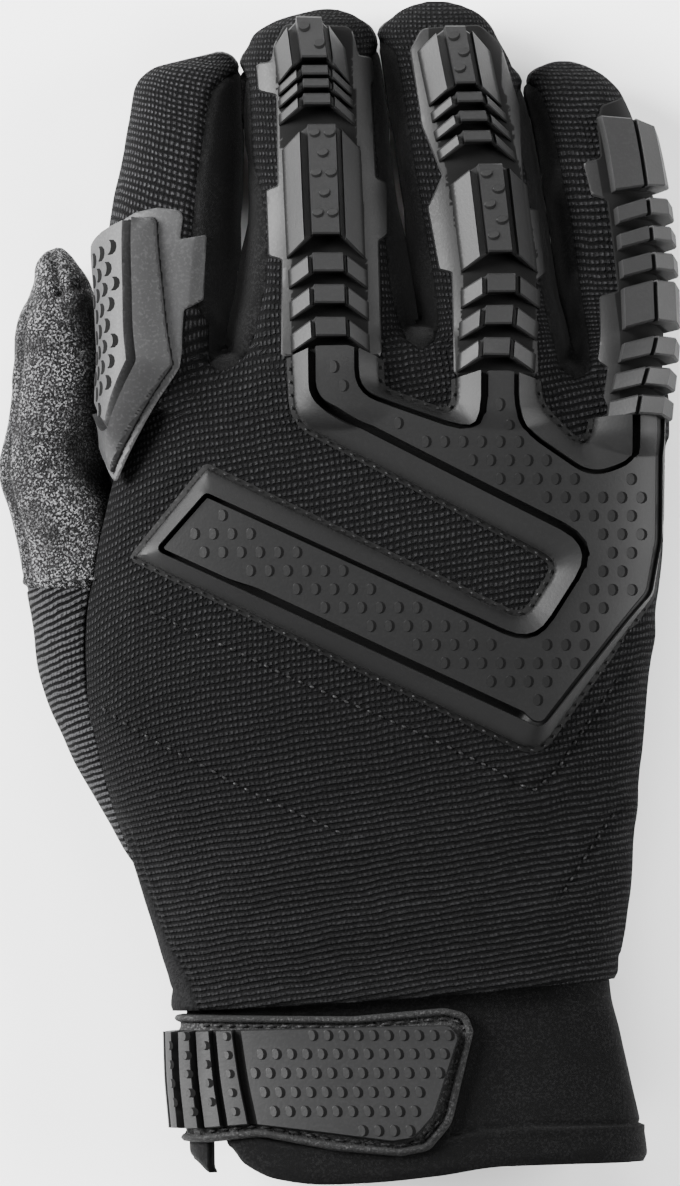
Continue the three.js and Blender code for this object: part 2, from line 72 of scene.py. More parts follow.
# Section tables


def table(columns, *rows):
    """Named columns of numbers, a row for each section along the glove."""
    return dict(zip(columns.split(), np.array(rows, float).T))


HAND = table(
    "y left right bottom top tuck",
    (-100, -34, 54, 3.4, 33.2, 0),
    (-92, -34.4, 54.6, 3, 33.6, 0),
    (-81.5, -35.2, 56.6, 2.4, 34, 0),
    (-74.3, -37.4, 58.6, 0.8, 34.4, 0),
    (-63.9, -40.6, 60.2, -0.8, 35, 0),
    (-53.5, -44, 61, -1.6, 35.6, 0),
    (-43, -48, 61.9, -1.6, 36.2, 0),
    (-30.6, -51.6, 63, -0.6, 37, 0),
    (-18, -53.8, 64.2, 2, 37.6, 0),
    (-5.6, -54.2, 65.5, 3.6, 38, 1),
    (7, -53, 66.9, 5, 38, 4),
    (19.3, -51.2, 67.2, 6.2, 37.8, 7),
    (33.9, -48.9, 67.5, 7, 37.2, 8),
    (44.3, -48.3, 67.4, 7.4, 35.6, 8),
    (50, -47.6, 66.2, 9, 33, 8),
    (53.4, -43, 62, 13, 28, 4),
    (54.4, 0, 20, 19, 21, 0),
)
FINGER = "y middle half bottom top"
INDEX = table(
    FINGER,
    (38, -36.6, 11.4, 8, 34),
    (52, -36.6, 11.6, 7, 32.5),
    (63, -35.5, 12.8, 5.5, 30.6),
    (73.4, -34.7, 13.6, 4, 28.4),
    (81.3, -33.9, 13.4, 2.6, 26.4),
    (90.1, -32.9, 12.5, 0.6, 24.2),
    (99.8, -32.3, 11.5, -0.8, 21.8),
    (105.7, -31.7, 11, 0.4, 19.8),
    (109.4, -30.4, 8.8, 2.6, 17),
    (111.2, -28, 5, 5.6, 13.6),
    (112.4, -26.2, 2, 8, 11.4),
)
MIDDLE = table(
    FINGER,
    (38, -3.2, 18, 8.6, 36.4),
    (51.6, -3.4, 19.2, 7.6, 34.6),
    (63, -3.2, 17.8, 6, 32.4),
    (76.5, -3.3, 15.8, 4, 29.8),
    (86.9, -4, 15, 2.6, 27.6),
    (95.5, -4.8, 14.8, 1, 25.6),
    (103.6, -5.6, 14.4, -0.6, 23.6),
    (110.9, -6, 13.8, -0.8, 21.6),
    (116, -5.9, 12.4, 0.6, 19.2),
    (119.2, -4.6, 9.2, 3, 16.4),
    (120.8, -3.2, 5.8, 5.6, 13.6),
    (121.8, -2.6, 2.4, 8, 11.4),
)
RING = table(
    FINGER,
    (38, 32.8, 14.6, 8.4, 35.8),
    (51.6, 32.5, 14.8, 7.4, 34),
    (63, 30.5, 14.2, 5.8, 31.8),
    (76.5, 28.4, 14.3, 3.8, 29.2),
    (86.9, 26.6, 14.2, 2.4, 27),
    (95.5, 25.4, 14, 1.2, 25),
    (103.6, 24.1, 13.6, -0.6, 23),
    (110.9, 22.5, 12.9, -0.8, 21),
    (117.1, 20.6, 11.6, 0.8, 18.4),
    (120.8, 20.4, 8.8, 3.4, 15.8),
    (122.6, 20.2, 5.4, 5.8, 13.4),
    (123.5, 20.2, 2.2, 8, 11.4),
)
LITTLE = table(
    FINGER,
    (34, 57.4, 9.4, 8.4, 33),
    (50.5, 57.8, 9.2, 7, 31),
    (63, 56.5, 10.4, 5.2, 28.8),
    (76.5, 55, 10.9, 3.4, 26.4),
    (86.9, 53.5, 10.5, 2, 24.2),
    (96.3, 51.6, 10.2, -0.6, 22),
    (103.6, 49.2, 9.8, 0.2, 19.6),
    (107.7, 47.8, 7.6, 2.4, 17),
    (110, 46.8, 4.6, 5.4, 13.6),
    (111, 46.6, 1.8, 8, 11.4),
)
THUMB = table(
    FINGER,
    (-64, -32, 5, 8, 20),
    (-54, -35.9, 8.9, 3, 21.4),
    (-43, -40, 11.3, 0.4, 22.6),
    (-30.6, -44.1, 13.7, -0.6, 23.6),
    (-16.6, -48.5, 14.3, -0.8, 24.4),
    (-1, -51.4, 13.7, -0.6, 25),
    (12.7, -55.4, 12.1, -0.2, 25.4),
    (26, -59.5, 11.1, 0, 23.4),
    (37.6, -58.8, 10.1, -0.4, 22.6),
    (47.8, -58.6, 9.4, -0.6, 21.8),
    (56.8, -58.7, 8.1, 0.4, 20.8),
    (64.1, -58.4, 5.6, 2.6, 18.4),
    (68.8, -59.6, 3.9, 5, 16),
    (71, -59.6, 2.2, 7.4, 13.4),
    (72, -59.6, 1, 8.6, 11.6),
)
# The hand's surface where the guards bridge the roots of the fingers
BRIDGE = table(
    "y left right bottom top",
    (34, -49.4, 67.5, 7, 33.5),
    (44.3, -49.2, 67.4, 7.4, 35),
    (50, -49, 67.2, 7.4, 34),
    (54, -48, 66.4, 7.4, 31.6),
    (58, -46, 65, 7.4, 27),
    (62, -44, 63, 7.4, 18),
)
CUFF = table(
    "y left right bottom top",
    (-126, -30.4, 64.4, 2.8, 34.4),
    (-112, -31, 63, 3, 33.4),
    (-101.3, -31.9, 60.5, 3.2, 32.2),
    (-92, -32.2, 58.2, 4.8, 31.2),
    (-82, -32.4, 56.2, 5, 30.8),
    (-75, -33, 55.6, 5, 31),
)
SEAM = table("y z", (-95, 16), (0, 17), (40, 19), (55, 18), (80, 14), (100, 11), (126, 9.6))
HEM = table("x y", (-70, -87.4), (-40, -87.2), (-28, -86.6), (20, -83.6), (60, -80), (80, -79))
WEB = table("x y", (-55, 49), (-24, 49.4), (-5, 53.6), (16, 55), (32, 51.4), (48, 48), (70, 46))
CUFF_EDGE = table(
    "x y",
    (-60, -117),
    (-31, -117.8),
    (-27, -120.6),
    (-25.6, -120.8),
    (-23.4, -114.8),
    (-20, -118.4),
    (-13, -121.6),
    (-4, -122.6),
    (6, -122.2),
    (20, -120.8),
    (34, -118.8),
    (60, -118.2),
    (80, -118),
)
# Strips between the fingers: the slit's place, and how far the strip shows on either side of it
SLITS = {
    "index_middle": table(
        "y x left right",
        (46, -24.6, 0.2, 0.2),
        (48, -24.4, 2.6, 3),
        (51, -24.1, 2.8, 5),
        (55, -23.6, 3.2, 6),
        (59, -22.6, 6.6, 5.8),
        (64.7, -21.2, 9.2, 5.6),
        (74.7, -20.4, 10.2, 4.8),
        (82.8, -20.1, 9.9, 3.5),
        (91.7, -20.1, 8.7, 1.4),
        (105, -20.4, 5.9, 1.2),
        (109, -20.6, 0.2, 0.2),
    ),
    "middle_ring": table(
        "y x left right",
        (50.5, 17, 0.2, 0.2),
        (53, 16.8, 3, 3),
        (63, 15.4, 4.4, 4),
        (76.5, 13.3, 4, 4),
        (95.5, 10.7, 3, 3.4),
        (112, 9, 2, 2.4),
        (115, 8.8, 0.2, 0.2),
    ),
    "ring_little": table(
        "y x left right",
        (44.5, 49.4, 0.2, 0.2),
        (47, 48.8, 2.8, 2.8),
        (63, 45.5, 3.2, 4.2),
        (76.5, 43.4, 3, 4.4),
        (95.5, 40.3, 2.4, 3.8),
        (104, 39, 2, 2.6),
        (107, 38.6, 0.2, 0.2),
    ),
}
FOURCHETTE_BELOW = 6.0  # how far a strip reaches below the seam
WIDEST = 0.46  # height of a section's widest place, as a share of its whole height
HAND_POWER, FINGER_POWER, CUFF_POWER = 2.5, 2.4, 2.4


def curve(at, xs, ys):
    """Smooth values between a table's rows, with no overshoot."""
    step = np.diff(xs)
    slope = np.diff(ys) / step
    tangent = np.zeros_like(ys)
    tangent[0], tangent[-1] = slope[0], slope[-1]
    before, after = slope[:-1], slope[1:]
    same = before * after > 0
    wide, near = 2 * step[1:] + step[:-1], step[1:] + 2 * step[:-1]
    safe_before, safe_after = np.where(same, before, 1), np.where(same, after, 1)
    tangent[1:-1] = np.where(same, (wide + near) / (wide / safe_before + near / safe_after), 0)
    at = np.clip(at, xs[0], xs[-1])
    k = np.clip(np.searchsorted(xs, at, side="right") - 1, 0, len(xs) - 2)
    t = (at - xs[k]) / step[k]
    return (
        (1 + 2 * t) * (1 - t) ** 2 * ys[k]
        + t * (1 - t) ** 2 * step[k] * tangent[k]
        + t * t * (3 - 2 * t) * ys[k + 1]
        - t * t * (1 - t) * step[k] * tangent[k + 1]
    )


def ramp(value, low, high):
    """0 below low, 1 above high, smooth between."""
    t = np.clip((value - low) / (high - low), 0, 1)
    return t * t * (3 - 2 * t)


def bell(distance, width):
    """1 at no distance, and nearly 0 past twice the width."""
    return np.exp(-((distance / width) ** 2))


def smooth_min(a, b, width):
    """The smaller of two values, rounded where they meet."""
    overlap = np.maximum(width - np.abs(a - b), 0) / width
    return np.minimum(a, b) - overlap * overlap * width / 4


def unit(v):
    """Directions of length 1."""
    return v / np.maximum(np.linalg.norm(v, axis=-1, keepdims=True), 1e-9)


class Tube:
    """A finger, thumb, hand or cuff, given by rounded sections across it."""

    def __init__(self, rows, power):
        self.rows, self.power = rows, power
        if "middle" not in rows:
            rows["middle"] = (rows["left"] + rows["right"]) / 2
            rows["half"] = (rows["right"] - rows["left"]) / 2
        if "tuck" not in rows:
            rows["tuck"] = np.zeros_like(rows["y"])

    def sizes(self, y):
        rows = self.rows
        names = ("middle", "half", "bottom", "top", "tuck")
        middle, half, bottom, top, tuck = (curve(y, rows["y"], rows[n]) for n in names)
        widest = bottom + WIDEST * (top - bottom)
        return middle, half, widest, top - widest, widest - bottom, tuck

    def field(self, x, y, z):
        """About how far a point is outside the surface."""
        middle, half, widest, up, down, tuck = self.sizes(y)
        dz = z - widest
        b = np.where(dz > 0, up, down)
        c = np.clip((x - middle) / half, -1, 1)
        s = np.clip(dz / b, -1, 1)
        dx = x - middle - tuck * (1 - c) * (1 - s) / 4
        q = (np.abs(dx / half) ** self.power + np.abs(dz / b) ** self.power) ** (1 / self.power) + 1e-6
        r = np.hypot(dx, dz)
        ends = np.maximum(y - self.rows["y"][-1], self.rows["y"][0] - y)
        return np.maximum(r * (1 - 1 / q), ends)

    def top(self, x, y):
        """Height of the upper surface, or far below it outside the outline."""
        middle, half, widest, up, _, _ = self.sizes(y)
        c = np.abs((x - middle) / half)
        crown = np.maximum(1 - np.minimum(c, 1) ** self.power, 0) ** (1 / self.power)
        before = np.maximum(self.rows["y"][0] - y, 0)
        fall = before**2 / 5
        shown = (c < 1) & (y < self.rows["y"][-1]) & (before < 9)
        return np.where(shown, widest + up * crown - fall, -60.0)

    def point(self, y, angle, height=0.0):
        """A point at an angle from +X towards +Z, and its outward normal."""

        def place(y, angle, grow):
            middle, half, widest, up, down, _ = self.sizes(y)
            c, s = np.cos(angle), np.sin(angle)
            b = np.where(s > 0, up, down) + grow
            e = 2 / self.power
            return np.stack(
                np.broadcast_arrays(
                    middle + (half + grow) * np.sign(c) * np.abs(c) ** e,
                    y,
                    widest + b * np.sign(s) * np.abs(s) ** e,
                ),
                -1,
            )

        base = place(y, angle, 0)
        along = place(y + 0.5, angle, 0) - place(y - 0.5, angle, 0)
        round_ = place(y, angle + 0.02, 0) - place(y, angle - 0.02, 0)
        normal = unit(np.cross(along, round_))
        outward = base - place(y, angle, -1)
        normal *= np.sign((normal * outward).sum(-1, keepdims=True))
        return base + normal * np.asarray(height)[..., None], normal

    def arc(self, y, grow=0.0):
        """Angles and the arc length from the top to each, at one place along the tube."""
        angles = np.radians(np.linspace(-130, 310, 881))
        points = self.point(np.full_like(angles, y), angles, np.full_like(angles, grow))[0]
        steps = np.linalg.norm(np.diff(points, axis=0), axis=1)
        length = np.concatenate([[0], np.cumsum(steps)])
        return angles, np.interp(math.pi / 2, angles, length) - length


hand, bridge, cuff_tube = Tube(HAND, HAND_POWER), Tube(BRIDGE, HAND_POWER), Tube(CUFF, CUFF_POWER)
index, middle_finger, ring, little, thumb = (
    Tube(rows, FINGER_POWER) for rows in (INDEX, MIDDLE, RING, LITTLE, THUMB)
)
FINGERS = (index, middle_finger, ring, little)


def web_shift(x, y):
    """How far the hand's rounded end is moved along, so that it meets each gap between fingers."""
    return (curve(x, WEB["x"], WEB["y"]) - 53.5) * ramp(y, 30, 46)


def crotch_width(y):
    """Size of the rounding where fingers meet the hand: none where they lie side by side."""
    return 0.25 + 4.5 * (1 - ramp(y, 47, 57))


def body_field(x, y, z):
    """The hand with its fingers."""
    value = hand.field(x, y - web_shift(x, y), z)
    for tube in FINGERS:
        value = smooth_min(value, tube.field(x, y, z), crotch_width(y))
    return value


def body_top(x, y):
    """Height of the hand and fingers, seen from above."""
    height = -hand.top(x, y - web_shift(x, y))
    for tube in FINGERS:
        height = smooth_min(height, -tube.top(x, y), crotch_width(y))
    return -height


# Noise and folds


@lru_cache(None)
def lattice(seed):
    """Random values at the corners of the noise's cells."""
    return np.random.default_rng(seed).uniform(-1, 1, (24, 24, 24))


def noise(x, y, z, size, seed):
    """Smooth noise between -1 and 1, with bumps of the size given."""
    grid = lattice(seed)
    parts = []
    for v in np.broadcast_arrays(x, y, z):
        v = v / size + 100
        k = np.floor(v).astype(int)
        t = v - k
        parts.append((k, t * t * (3 - 2 * t)))
    total = 0
    for i in (0, 1):
        for j in (0, 1):
            for k in (0, 1):
                weight = 1
                place = []
                for (base, t), step in zip(parts, (i, j, k)):
                    weight = weight * (t if step else 1 - t)
                    place.append((base + step) % 24)
                total = total + weight * grid[tuple(place)]
    return total


# Meshes


def surface(field, low, high, step):
    """The zero surface of a field, as quads over a grid, drawn onto the surface."""
    axes = [np.arange(a, b + step, step) for a, b in zip(low, high)]
    value = field(axes[0][:, None, None], axes[1][None, :, None], axes[2][None, None, :])
    inside = value < 0
    corners = [(i, j, k) for i in (0, 1) for j in (0, 1) for k in (0, 1)]

    def seen(array, c):
        return array[tuple(slice(o, n - 1 + o) for o, n in zip(c, array.shape))]

    count = sum(seen(inside, c).astype(np.int8) for c in corners)
    active = (count > 0) & (count < 8)
    number = np.full(active.shape, -1)
    number[active] = np.arange(active.sum())
    at_corner = {c: seen(value, c)[active] for c in corners}
    total = np.zeros((active.sum(), 3))
    hits = np.zeros(active.sum())
    for a in corners:
        for axis in range(3):
            if a[axis]:
                continue
            b = tuple(v + (i == axis) for i, v in enumerate(a))
            va, vb = at_corner[a], at_corner[b]
            crossing = (va < 0) != (vb < 0)
            t = np.where(crossing, va / np.where(crossing, va - vb, 1), 0)
            point = np.array(a, float) + t[:, None] * (np.array(b) - np.array(a))
            total += point * crossing[:, None]
            hits += crossing
    points = np.array(low) + step * (np.argwhere(active) + total / hits[:, None])
    quads = []
    for axis in range(3):
        u, v = (axis + 1) % 3, (axis + 2) % 3
        start = [slice(None)] * 3
        end = [slice(None)] * 3
        start[axis], end[axis] = slice(0, -1), slice(1, None)
        a, b = inside[tuple(start)], inside[tuple(end)]
        place = np.argwhere(a != b)
        keep = (place[:, u] > 0) & (place[:, v] > 0)
        keep &= (place[:, u] < number.shape[u]) & (place[:, v] < number.shape[v])
        place = place[keep]
        around = []
        for du, dv in ((-1, -1), (0, -1), (0, 0), (-1, 0)):
            cell = place.copy()
            cell[:, u] += du
            cell[:, v] += dv
            around.append(number[tuple(cell.T)])
        quad = np.stack(around, 1)
        leaving = a[tuple(place.T)]
        quads.append(np.where(leaving[:, None], quad, quad[:, ::-1]))
    quads = np.concatenate(quads)
    faces = np.concatenate([quads[:, [0, 1, 2]], quads[:, [0, 2, 3]]])
    for _ in range(3):
        points = drawn_onto(points, field)
    return points, faces


def gradient(points, field, step=0.25):
    """How fast a field grows along each axis."""
    slopes = []
    for axis in range(3):
        offset = np.eye(3)[axis] * step
        slopes.append(field(*(points + offset).T) - field(*(points - offset).T))
    return np.stack(slopes, 1) / (2 * step)


def drawn_onto(points, field, most=0.5):
    """Points moved to where a field is zero."""
    value = field(*points.T)
    slope = gradient(points, field)
    move = -(value / np.maximum((slope**2).sum(1), 0.2))[:, None] * slope
    length = np.linalg.norm(move, axis=1, keepdims=True)
    return points + move * np.minimum(1, most / np.maximum(length, 1e-9))


SNAP = 0.03  # points nearer than this to a cut count as lying on it


def between(value, low, high):
    """0 at low and 1 at high, for values that were cut there."""
    return np.clip((value - low - SNAP) / (high - low - 2 * SNAP), 0, 1)


def cut(points, faces, value):
    """Splits the triangles along value = 0."""
    value = np.where(np.abs(value) < SNAP, 0.0, value)
    sign = np.sign(value)[faces]
    crossed = (sign.max(1) > 0) & (sign.min(1) < 0)
    whole, split = faces[~crossed], faces[crossed]
    edges = np.concatenate([split[:, [0, 1]], split[:, [1, 2]], split[:, [2, 0]]])
    across = value[edges[:, 0]] * value[edges[:, 1]] < 0
    ordered = np.sort(edges, 1)
    key = ordered[:, 0] * len(points) + ordered[:, 1]
    used, place = np.unique(key[across], return_inverse=True)
    a, b = used // len(points), used % len(points)
    t = (value[a] / (value[a] - value[b]))[:, None]
    added = points[a] * (1 - t) + points[b] * t
    new = np.full(len(edges), -1)
    new[across] = place + len(points)
    n = len(split)
    mid = np.stack([new[:n], new[n : 2 * n], new[2 * n :]], 1)
    result = [whole]
    for k in range(3):
        a, b, c = split[:, k], split[:, (k + 1) % 3], split[:, (k + 2) % 3]
        ab, bc, ca = mid[:, k], mid[:, (k + 1) % 3], mid[:, (k + 2) % 3]
        two = (ab >= 0) & (ca >= 0)  # the corner a is alone on its side
        result.append(np.stack([a, ab, ca], 1)[two])
        result.append(np.stack([ab, b, c], 1)[two])
        result.append(np.stack([ab, c, ca], 1)[two])
        one = (bc >= 0) & (ab < 0) & (ca < 0)  # the cut passes through the corner a
        result.append(np.stack([a, b, bc], 1)[one])
        result.append(np.stack([a, bc, c], 1)[one])
    return np.concatenate([points, added]), np.concatenate(result)


def tidy(points, faces, *extra):
    """Drops the points that no triangle uses."""
    used, place = np.unique(faces, return_inverse=True)
    return (points[used], place.reshape(faces.shape)) + tuple(e[used] for e in extra)


def kept(points, faces, field):
    """The part of a mesh where the field of its points is positive, with a clean edge."""
    points, faces = cut(points, faces, field(points))
    value = field(points)
    value = np.where(np.abs(value) < SNAP, 0.0, value)
    inner = value[faces].sum(1) > 0
    return tidy(points, faces[inner])


def normals(points, faces):
    """The outward direction at each point, from the triangles around it."""
    corner = points[faces]
    flat = np.cross(corner[:, 1] - corner[:, 0], corner[:, 2] - corner[:, 0])
    total = np.zeros_like(points)
    for k in range(3):
        np.add.at(total, faces[:, k], flat)
    return unit(total)


def closed(top, base, faces):
    """A body between two layers of the same triangles, with its edges closed."""
    edges = np.concatenate([faces[:, [0, 1]], faces[:, [1, 2]], faces[:, [2, 0]]])
    n = len(top)
    forward = edges[:, 0] * n + edges[:, 1]
    backward = edges[:, 1] * n + edges[:, 0]
    rim = edges[~np.isin(forward, backward)]
    a, b = rim[:, 0], rim[:, 1]
    walls = np.concatenate([np.stack([b, a, a + n], 1), np.stack([b, a + n, b + n], 1)])
    return np.concatenate([top, base]), np.concatenate([faces, faces[:, ::-1] + n, walls])


def joined(parts):
    """Several (points, faces) as one."""
    offset = np.cumsum([0] + [len(p) for p, _ in parts])
    return (
        np.concatenate([p for p, _ in parts]),
        np.concatenate([f + o for (_, f), o in zip(parts, offset)]),
    )


def add_piece(name, points, faces, material, slot, replaces=(), sharp=None, weave=None):
    """Makes a piece of the glove in the scene, in metres, riding on the glove's one body.

    A fourth column of points is a height or tone, read by the looks as lift, from which they paint light and
    shade. weave gives the coordinates of the knit's stitches.
    """
    mesh = bpy.data.meshes.new(name)
    mesh.vertices.add(len(points))
    mesh.vertices.foreach_set("co", (points[:, :3] * M).astype(np.float32).ravel())
    mesh.loops.add(faces.size)
    mesh.loops.foreach_set("vertex_index", faces.astype(np.int32).ravel())
    mesh.polygons.add(len(faces))
    mesh.polygons.foreach_set("loop_start", np.arange(0, faces.size, 3, dtype=np.int32))
    mesh.polygons.foreach_set("use_smooth", np.ones(len(faces), bool))
    mesh.update(calc_edges=True)
    mesh.validate()
    if points.shape[1] > 3:
        layer = mesh.attributes.new("lift", "FLOAT", "POINT")
        layer.data.foreach_set("value", points[:, 3].astype(np.float32))
    if weave is not None:
        layer = mesh.attributes.new("weave", "FLOAT_VECTOR", "POINT")
        layer.data.foreach_set("vector", weave.astype(np.float32).ravel())
    if sharp is not None:
        mesh.set_sharp_from_angle(angle=math.radians(sharp))
    mesh.materials.append(material)
    piece = bpy.data.objects.new(name, mesh)
    bpy.context.scene.collection.objects.link(piece)
    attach(piece, "root")
    for node in replaces:
        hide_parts(node)
    return piece


# Outlines


def rounded(corners, steps=6):
    """A closed outline from rows of x, y, radius."""
    points = []
    corners = np.array(corners, float)
    for i, (x, y, r) in enumerate(corners):
        here = np.array([x, y])
        back, on = corners[i - 1, :2] - here, corners[(i + 1) % len(corners), :2] - here
        lb, lo = np.hypot(*back), np.hypot(*on)
        half = math.acos(max(-1, min(1, back @ on / (lb * lo)))) / 2
        reach = min(r / math.tan(half), lb * 0.49, lo * 0.49)
        start, end = here + back / lb * reach, here + on / lo * reach
        for t in np.linspace(0, 1, steps) if r > 0.05 else (0.5,):
            points.append((1 - t) ** 2 * start + 2 * t * (1 - t) * here + t * t * end)
    return np.array(points)


def inside(outline, x, y):
    """Distance inside an outline, negative outside it."""
    best = np.full(np.shape(x), 1e9)
    odd = np.zeros(np.shape(x), bool)
    for (ax, ay), (bx, by) in zip(outline, np.roll(outline, -1, 0)):
        dx, dy = bx - ax, by - ay
        size = dx * dx + dy * dy
        if size < 1e-12:
            continue
        t = np.clip(((x - ax) * dx + (y - ay) * dy) / size, 0, 1)
        best = np.minimum(best, (x - ax - t * dx) ** 2 + (y - ay - t * dy) ** 2)
        if ay != by:
            odd ^= ((ay > y) != (by > y)) & (x < dx * (y - ay) / dy + ax)
    return np.where(odd, 1, -1) * np.sqrt(best)


def within(outline):
    """The distance inside an outline, as a function of x and y."""
    return lambda x, y: inside(outline, x, y)


def levels(field, *depths):
    """The lines along which a field of x and y has these values."""
    return [lambda x, y, d=d: field(x, y) - d for d in depths]


def flat_grid(low, high, step):
    """Triangles over a rectangle, their diagonals alternating."""
    xs, ys = (np.arange(a, b + step, step) for a, b in zip(low, high))
    x, y = np.meshgrid(xs, ys, indexing="ij")
    points = np.stack([x.ravel(), y.ravel()], 1)
    i, j = (v.ravel() for v in np.meshgrid(np.arange(len(xs) - 1), np.arange(len(ys) - 1), indexing="ij"))
    a = i * len(ys) + j
    b, c, d = a + len(ys), a + len(ys) + 1, a + 1
    even = ((i + j) % 2 == 0)[:, None]
    first = np.where(even, np.stack([a, b, c], 1), np.stack([a, b, d], 1))
    second = np.where(even, np.stack([a, c, d], 1), np.stack([b, c, d], 1))
    return points, np.concatenate([first, second])


def laid(place, x, y, height):
    """Points laid on the cloth, each followed by its height above it."""
    return np.column_stack([place(x, y, height), height])


UNDERSIDE = 0.05  # height of a moulding's underside above the cloth


def moulding(outline, margin, step, lines, height, place, trim=(), lift=None):
    """A moulded plate: a flat sheet cut along its lines, raised to its heights and laid on the cloth.

    lines and trim are functions of x and y: the sheet is cut where a line is zero, and ends where a
    trim is. place turns x, y and a height into a point. lift gives another height, where the looks
    need one: low places get painted shade, as a recess would be in shade.
    """
    low, high = outline.min(0) - margin, outline.max(0) + margin
    points, faces = flat_grid(low, high, step)
    points, faces = kept(points, faces, lambda p: inside(outline, *p.T) + margin)
    for end in trim:
        points, faces = kept(points, faces, lambda p: end(*p.T))
    for line in lines:
        points, faces = cut(points, faces, line(*points.T))
    points, faces = tidy(points, faces)
    x, y = points.T
    top, base = laid(place, x, y, height(x, y)), laid(place, x, y, np.full_like(x, UNDERSIDE))
    if lift:
        top[:, 3] = lift(x, y, top[:, 3])
    return closed(top, base, faces)


def bridge_top(x, y):
    """The upper surface carried smoothly over the gaps at the roots of the fingers."""
    return -smooth_min(-body_top(x, y), -bridge.top(x, y), 2.0)


STEEPEST = 1.6  # slope of the cloth past which a guard leans no further


def lifted(x, y, height, lean=1.0, over=bridge_top):
    """A point so far above the cloth, seen from above at x and y, leaning a little with the surface."""
    step = 0.4
    z = over(x, y)
    slope_x = (over(x + step, y) - over(x - step, y)) / (2 * step)
    slope_y = (over(x, y + step) - over(x, y - step)) / (2 * step)
    sideways = [-np.clip(slope, -STEEPEST, STEEPEST) for slope in (slope_x, slope_y)]
    normal = unit(np.stack(sideways + [np.ones_like(z)], -1))
    way = unit(normal + np.array([0, 0, lean]))
    return np.stack([x, y, z], -1) + way * np.asarray(height)[..., None]


SHADE, UNSHADED = 0.9, 2.8  # lifts at which the looks paint full shade, as in a recess, and no painted shade
SCALE_CORNERS = 14
SCALE_WIDTH = 0.62  # of a scale, as a share of its length
SCALE_EDGE = 0.012  # how far the lowest side of a scale stands out


def crescents(spots, height, place, radius, rise, turn=0.0, foot=0.4, tilt=1.0, tone=2.0):
    """Low scales with a curved step: on the right, or turned from there by some degrees.

    tilt says how much lower the other side is: 1 where it meets the surface. tone is the lift that its
    top gets, which sets how much painted shade it has.
    """
    count = SCALE_CORNERS
    angles = np.radians(np.arange(count) * 360 / count)
    c, s = math.cos(math.radians(turn)), math.sin(math.radians(turn))
    ring = np.stack([SCALE_WIDTH * np.cos(angles), np.sin(angles)]) * radius
    outward = 0.12 + (foot - 0.12) * ramp(np.cos(angles), -0.1, 0.9)
    outer = ring + outward * np.stack([np.cos(angles), 0.5 * np.sin(angles)])
    flat = np.concatenate([ring, ring, outer], 1)
    crest = rise * (1 - tilt * (1 - np.cos(angles)) / 2) + SCALE_EDGE
    lift = np.concatenate([crest, crest, np.full(count, 0.01)])
    k = np.arange(count)
    n = (k + 1) % count
    top = np.stack([np.zeros(count - 2, int), k[1:-1], k[2:]], 1)
    faces = np.concatenate([top, np.stack([k + count, k + 2 * count, n + count], 1)])
    faces = np.concatenate([faces, np.stack([n + count, k + 2 * count, n + 2 * count], 1)])
    shade = np.tile(np.cos(angles) > -0.2, 2)
    parts = []
    for x, y in spots:
        px, py = x + c * flat[0] - s * flat[1], y + s * flat[0] + c * flat[1]
        points = laid(place, px, py, height(px, py) + lift)
        points[:, 3] = tone
        # The step's side and foot get the lift of a recess, so they are painted dark as the step's shadow.
        points[count:, 3] = np.where(shade, SHADE, tone)
        parts.append((points, faces))
    return joined(parts)


def staggered(low, high, pitch_x, pitch_y, start=(0, 0)):
    """Points of a staggered pattern over a rectangle."""
    spots = []
    rows = int((high[1] - low[1]) / pitch_y) + 2
    columns = int((high[0] - low[0]) / pitch_x) + 2
    for j in range(rows):
        for i in range(columns):
            across = low[0] + start[0] + (i + 0.5 * (j % 2)) * pitch_x
            spots.append((across, low[1] + start[1] + j * pitch_y))
    return np.array(spots)


# Cloth


def strip_field(rows, x, y):
    """How far inside a strip between two fingers, seen from above."""
    slit = curve(y, rows["y"], rows["x"])
    left, right = curve(y, rows["y"], rows["left"]), curve(y, rows["y"], rows["right"])
    ends = np.minimum(y - rows["y"][0], rows["y"][-1] - y)
    return np.minimum(np.minimum(x - slit + left, slit + right - x), ends)


def fourchette_field(p, rows):
    """How far inside a strip, which ends a little below the seam."""
    x, y, z = p.T
    return np.minimum(strip_field(rows, x, y), z - curve(y, SEAM["y"], SEAM["z"]) + FOURCHETTE_BELOW)


def seam_field(p):
    """Height above the seam between back and palm."""
    return p[:, 2] - curve(p[:, 1], SEAM["y"], SEAM["z"])


def hem_field(p):
    """Distance from the hem that lies over the cuff."""
    return p[:, 1] - curve(p[:, 0], HEM["x"], HEM["y"])


# Lines sewn through the knit, from the thumb side to the little finger's
QUILT_LINES = (
    (
        (-40.6, -3.1),
        (-30, -8.5),
        (-21.8, -11.9),
        (-10.8, -17.3),
        (6, -24.5),
        (19, -30.2),
        (32.9, -37),
        (36, -39.3),
    ),
    ((36, -39.3), (40.4, -40.8), (45.1, -36.6), (49.3, -30.2), (53, -25), (58.9, -16.8)),
    (
        (-50.5, -23.1),
        (-44.1, -27.2),
        (-36.8, -31.6),
        (-28.3, -35.8),
        (-21.8, -39.5),
        (-11.9, -44.3),
        (2, -50.5),
    ),
    ((45.6, -63.2), (51.8, -53.5), (57.8, -44.5)),
)
# Soft folds of the cloth: a line, its half width, and its height (negative for a dent)
FOLDS = table(
    "x0 y0 x1 y1 width height",
    (-30, -60, 20, -50, 6, 0.5),
    (20, -56, 58, -40, 7, 0.6),
    (-26, -74, 24, -66, 4, 0.45),
    (30, -70, 57, -62, 4, 0.5),
    (40, -52, 60, -30, 5, -0.5),
    (-48, -18, -34, -44, 4, 0.5),
    (-36, 8, -44, -16, 6, 0.4),
    (-24, 30, -34, 12, 5, 0.35),
    (56, -10, 62, -34, 4, -0.4),
    (-8, -76, 30, -74, 3, -0.35),
)


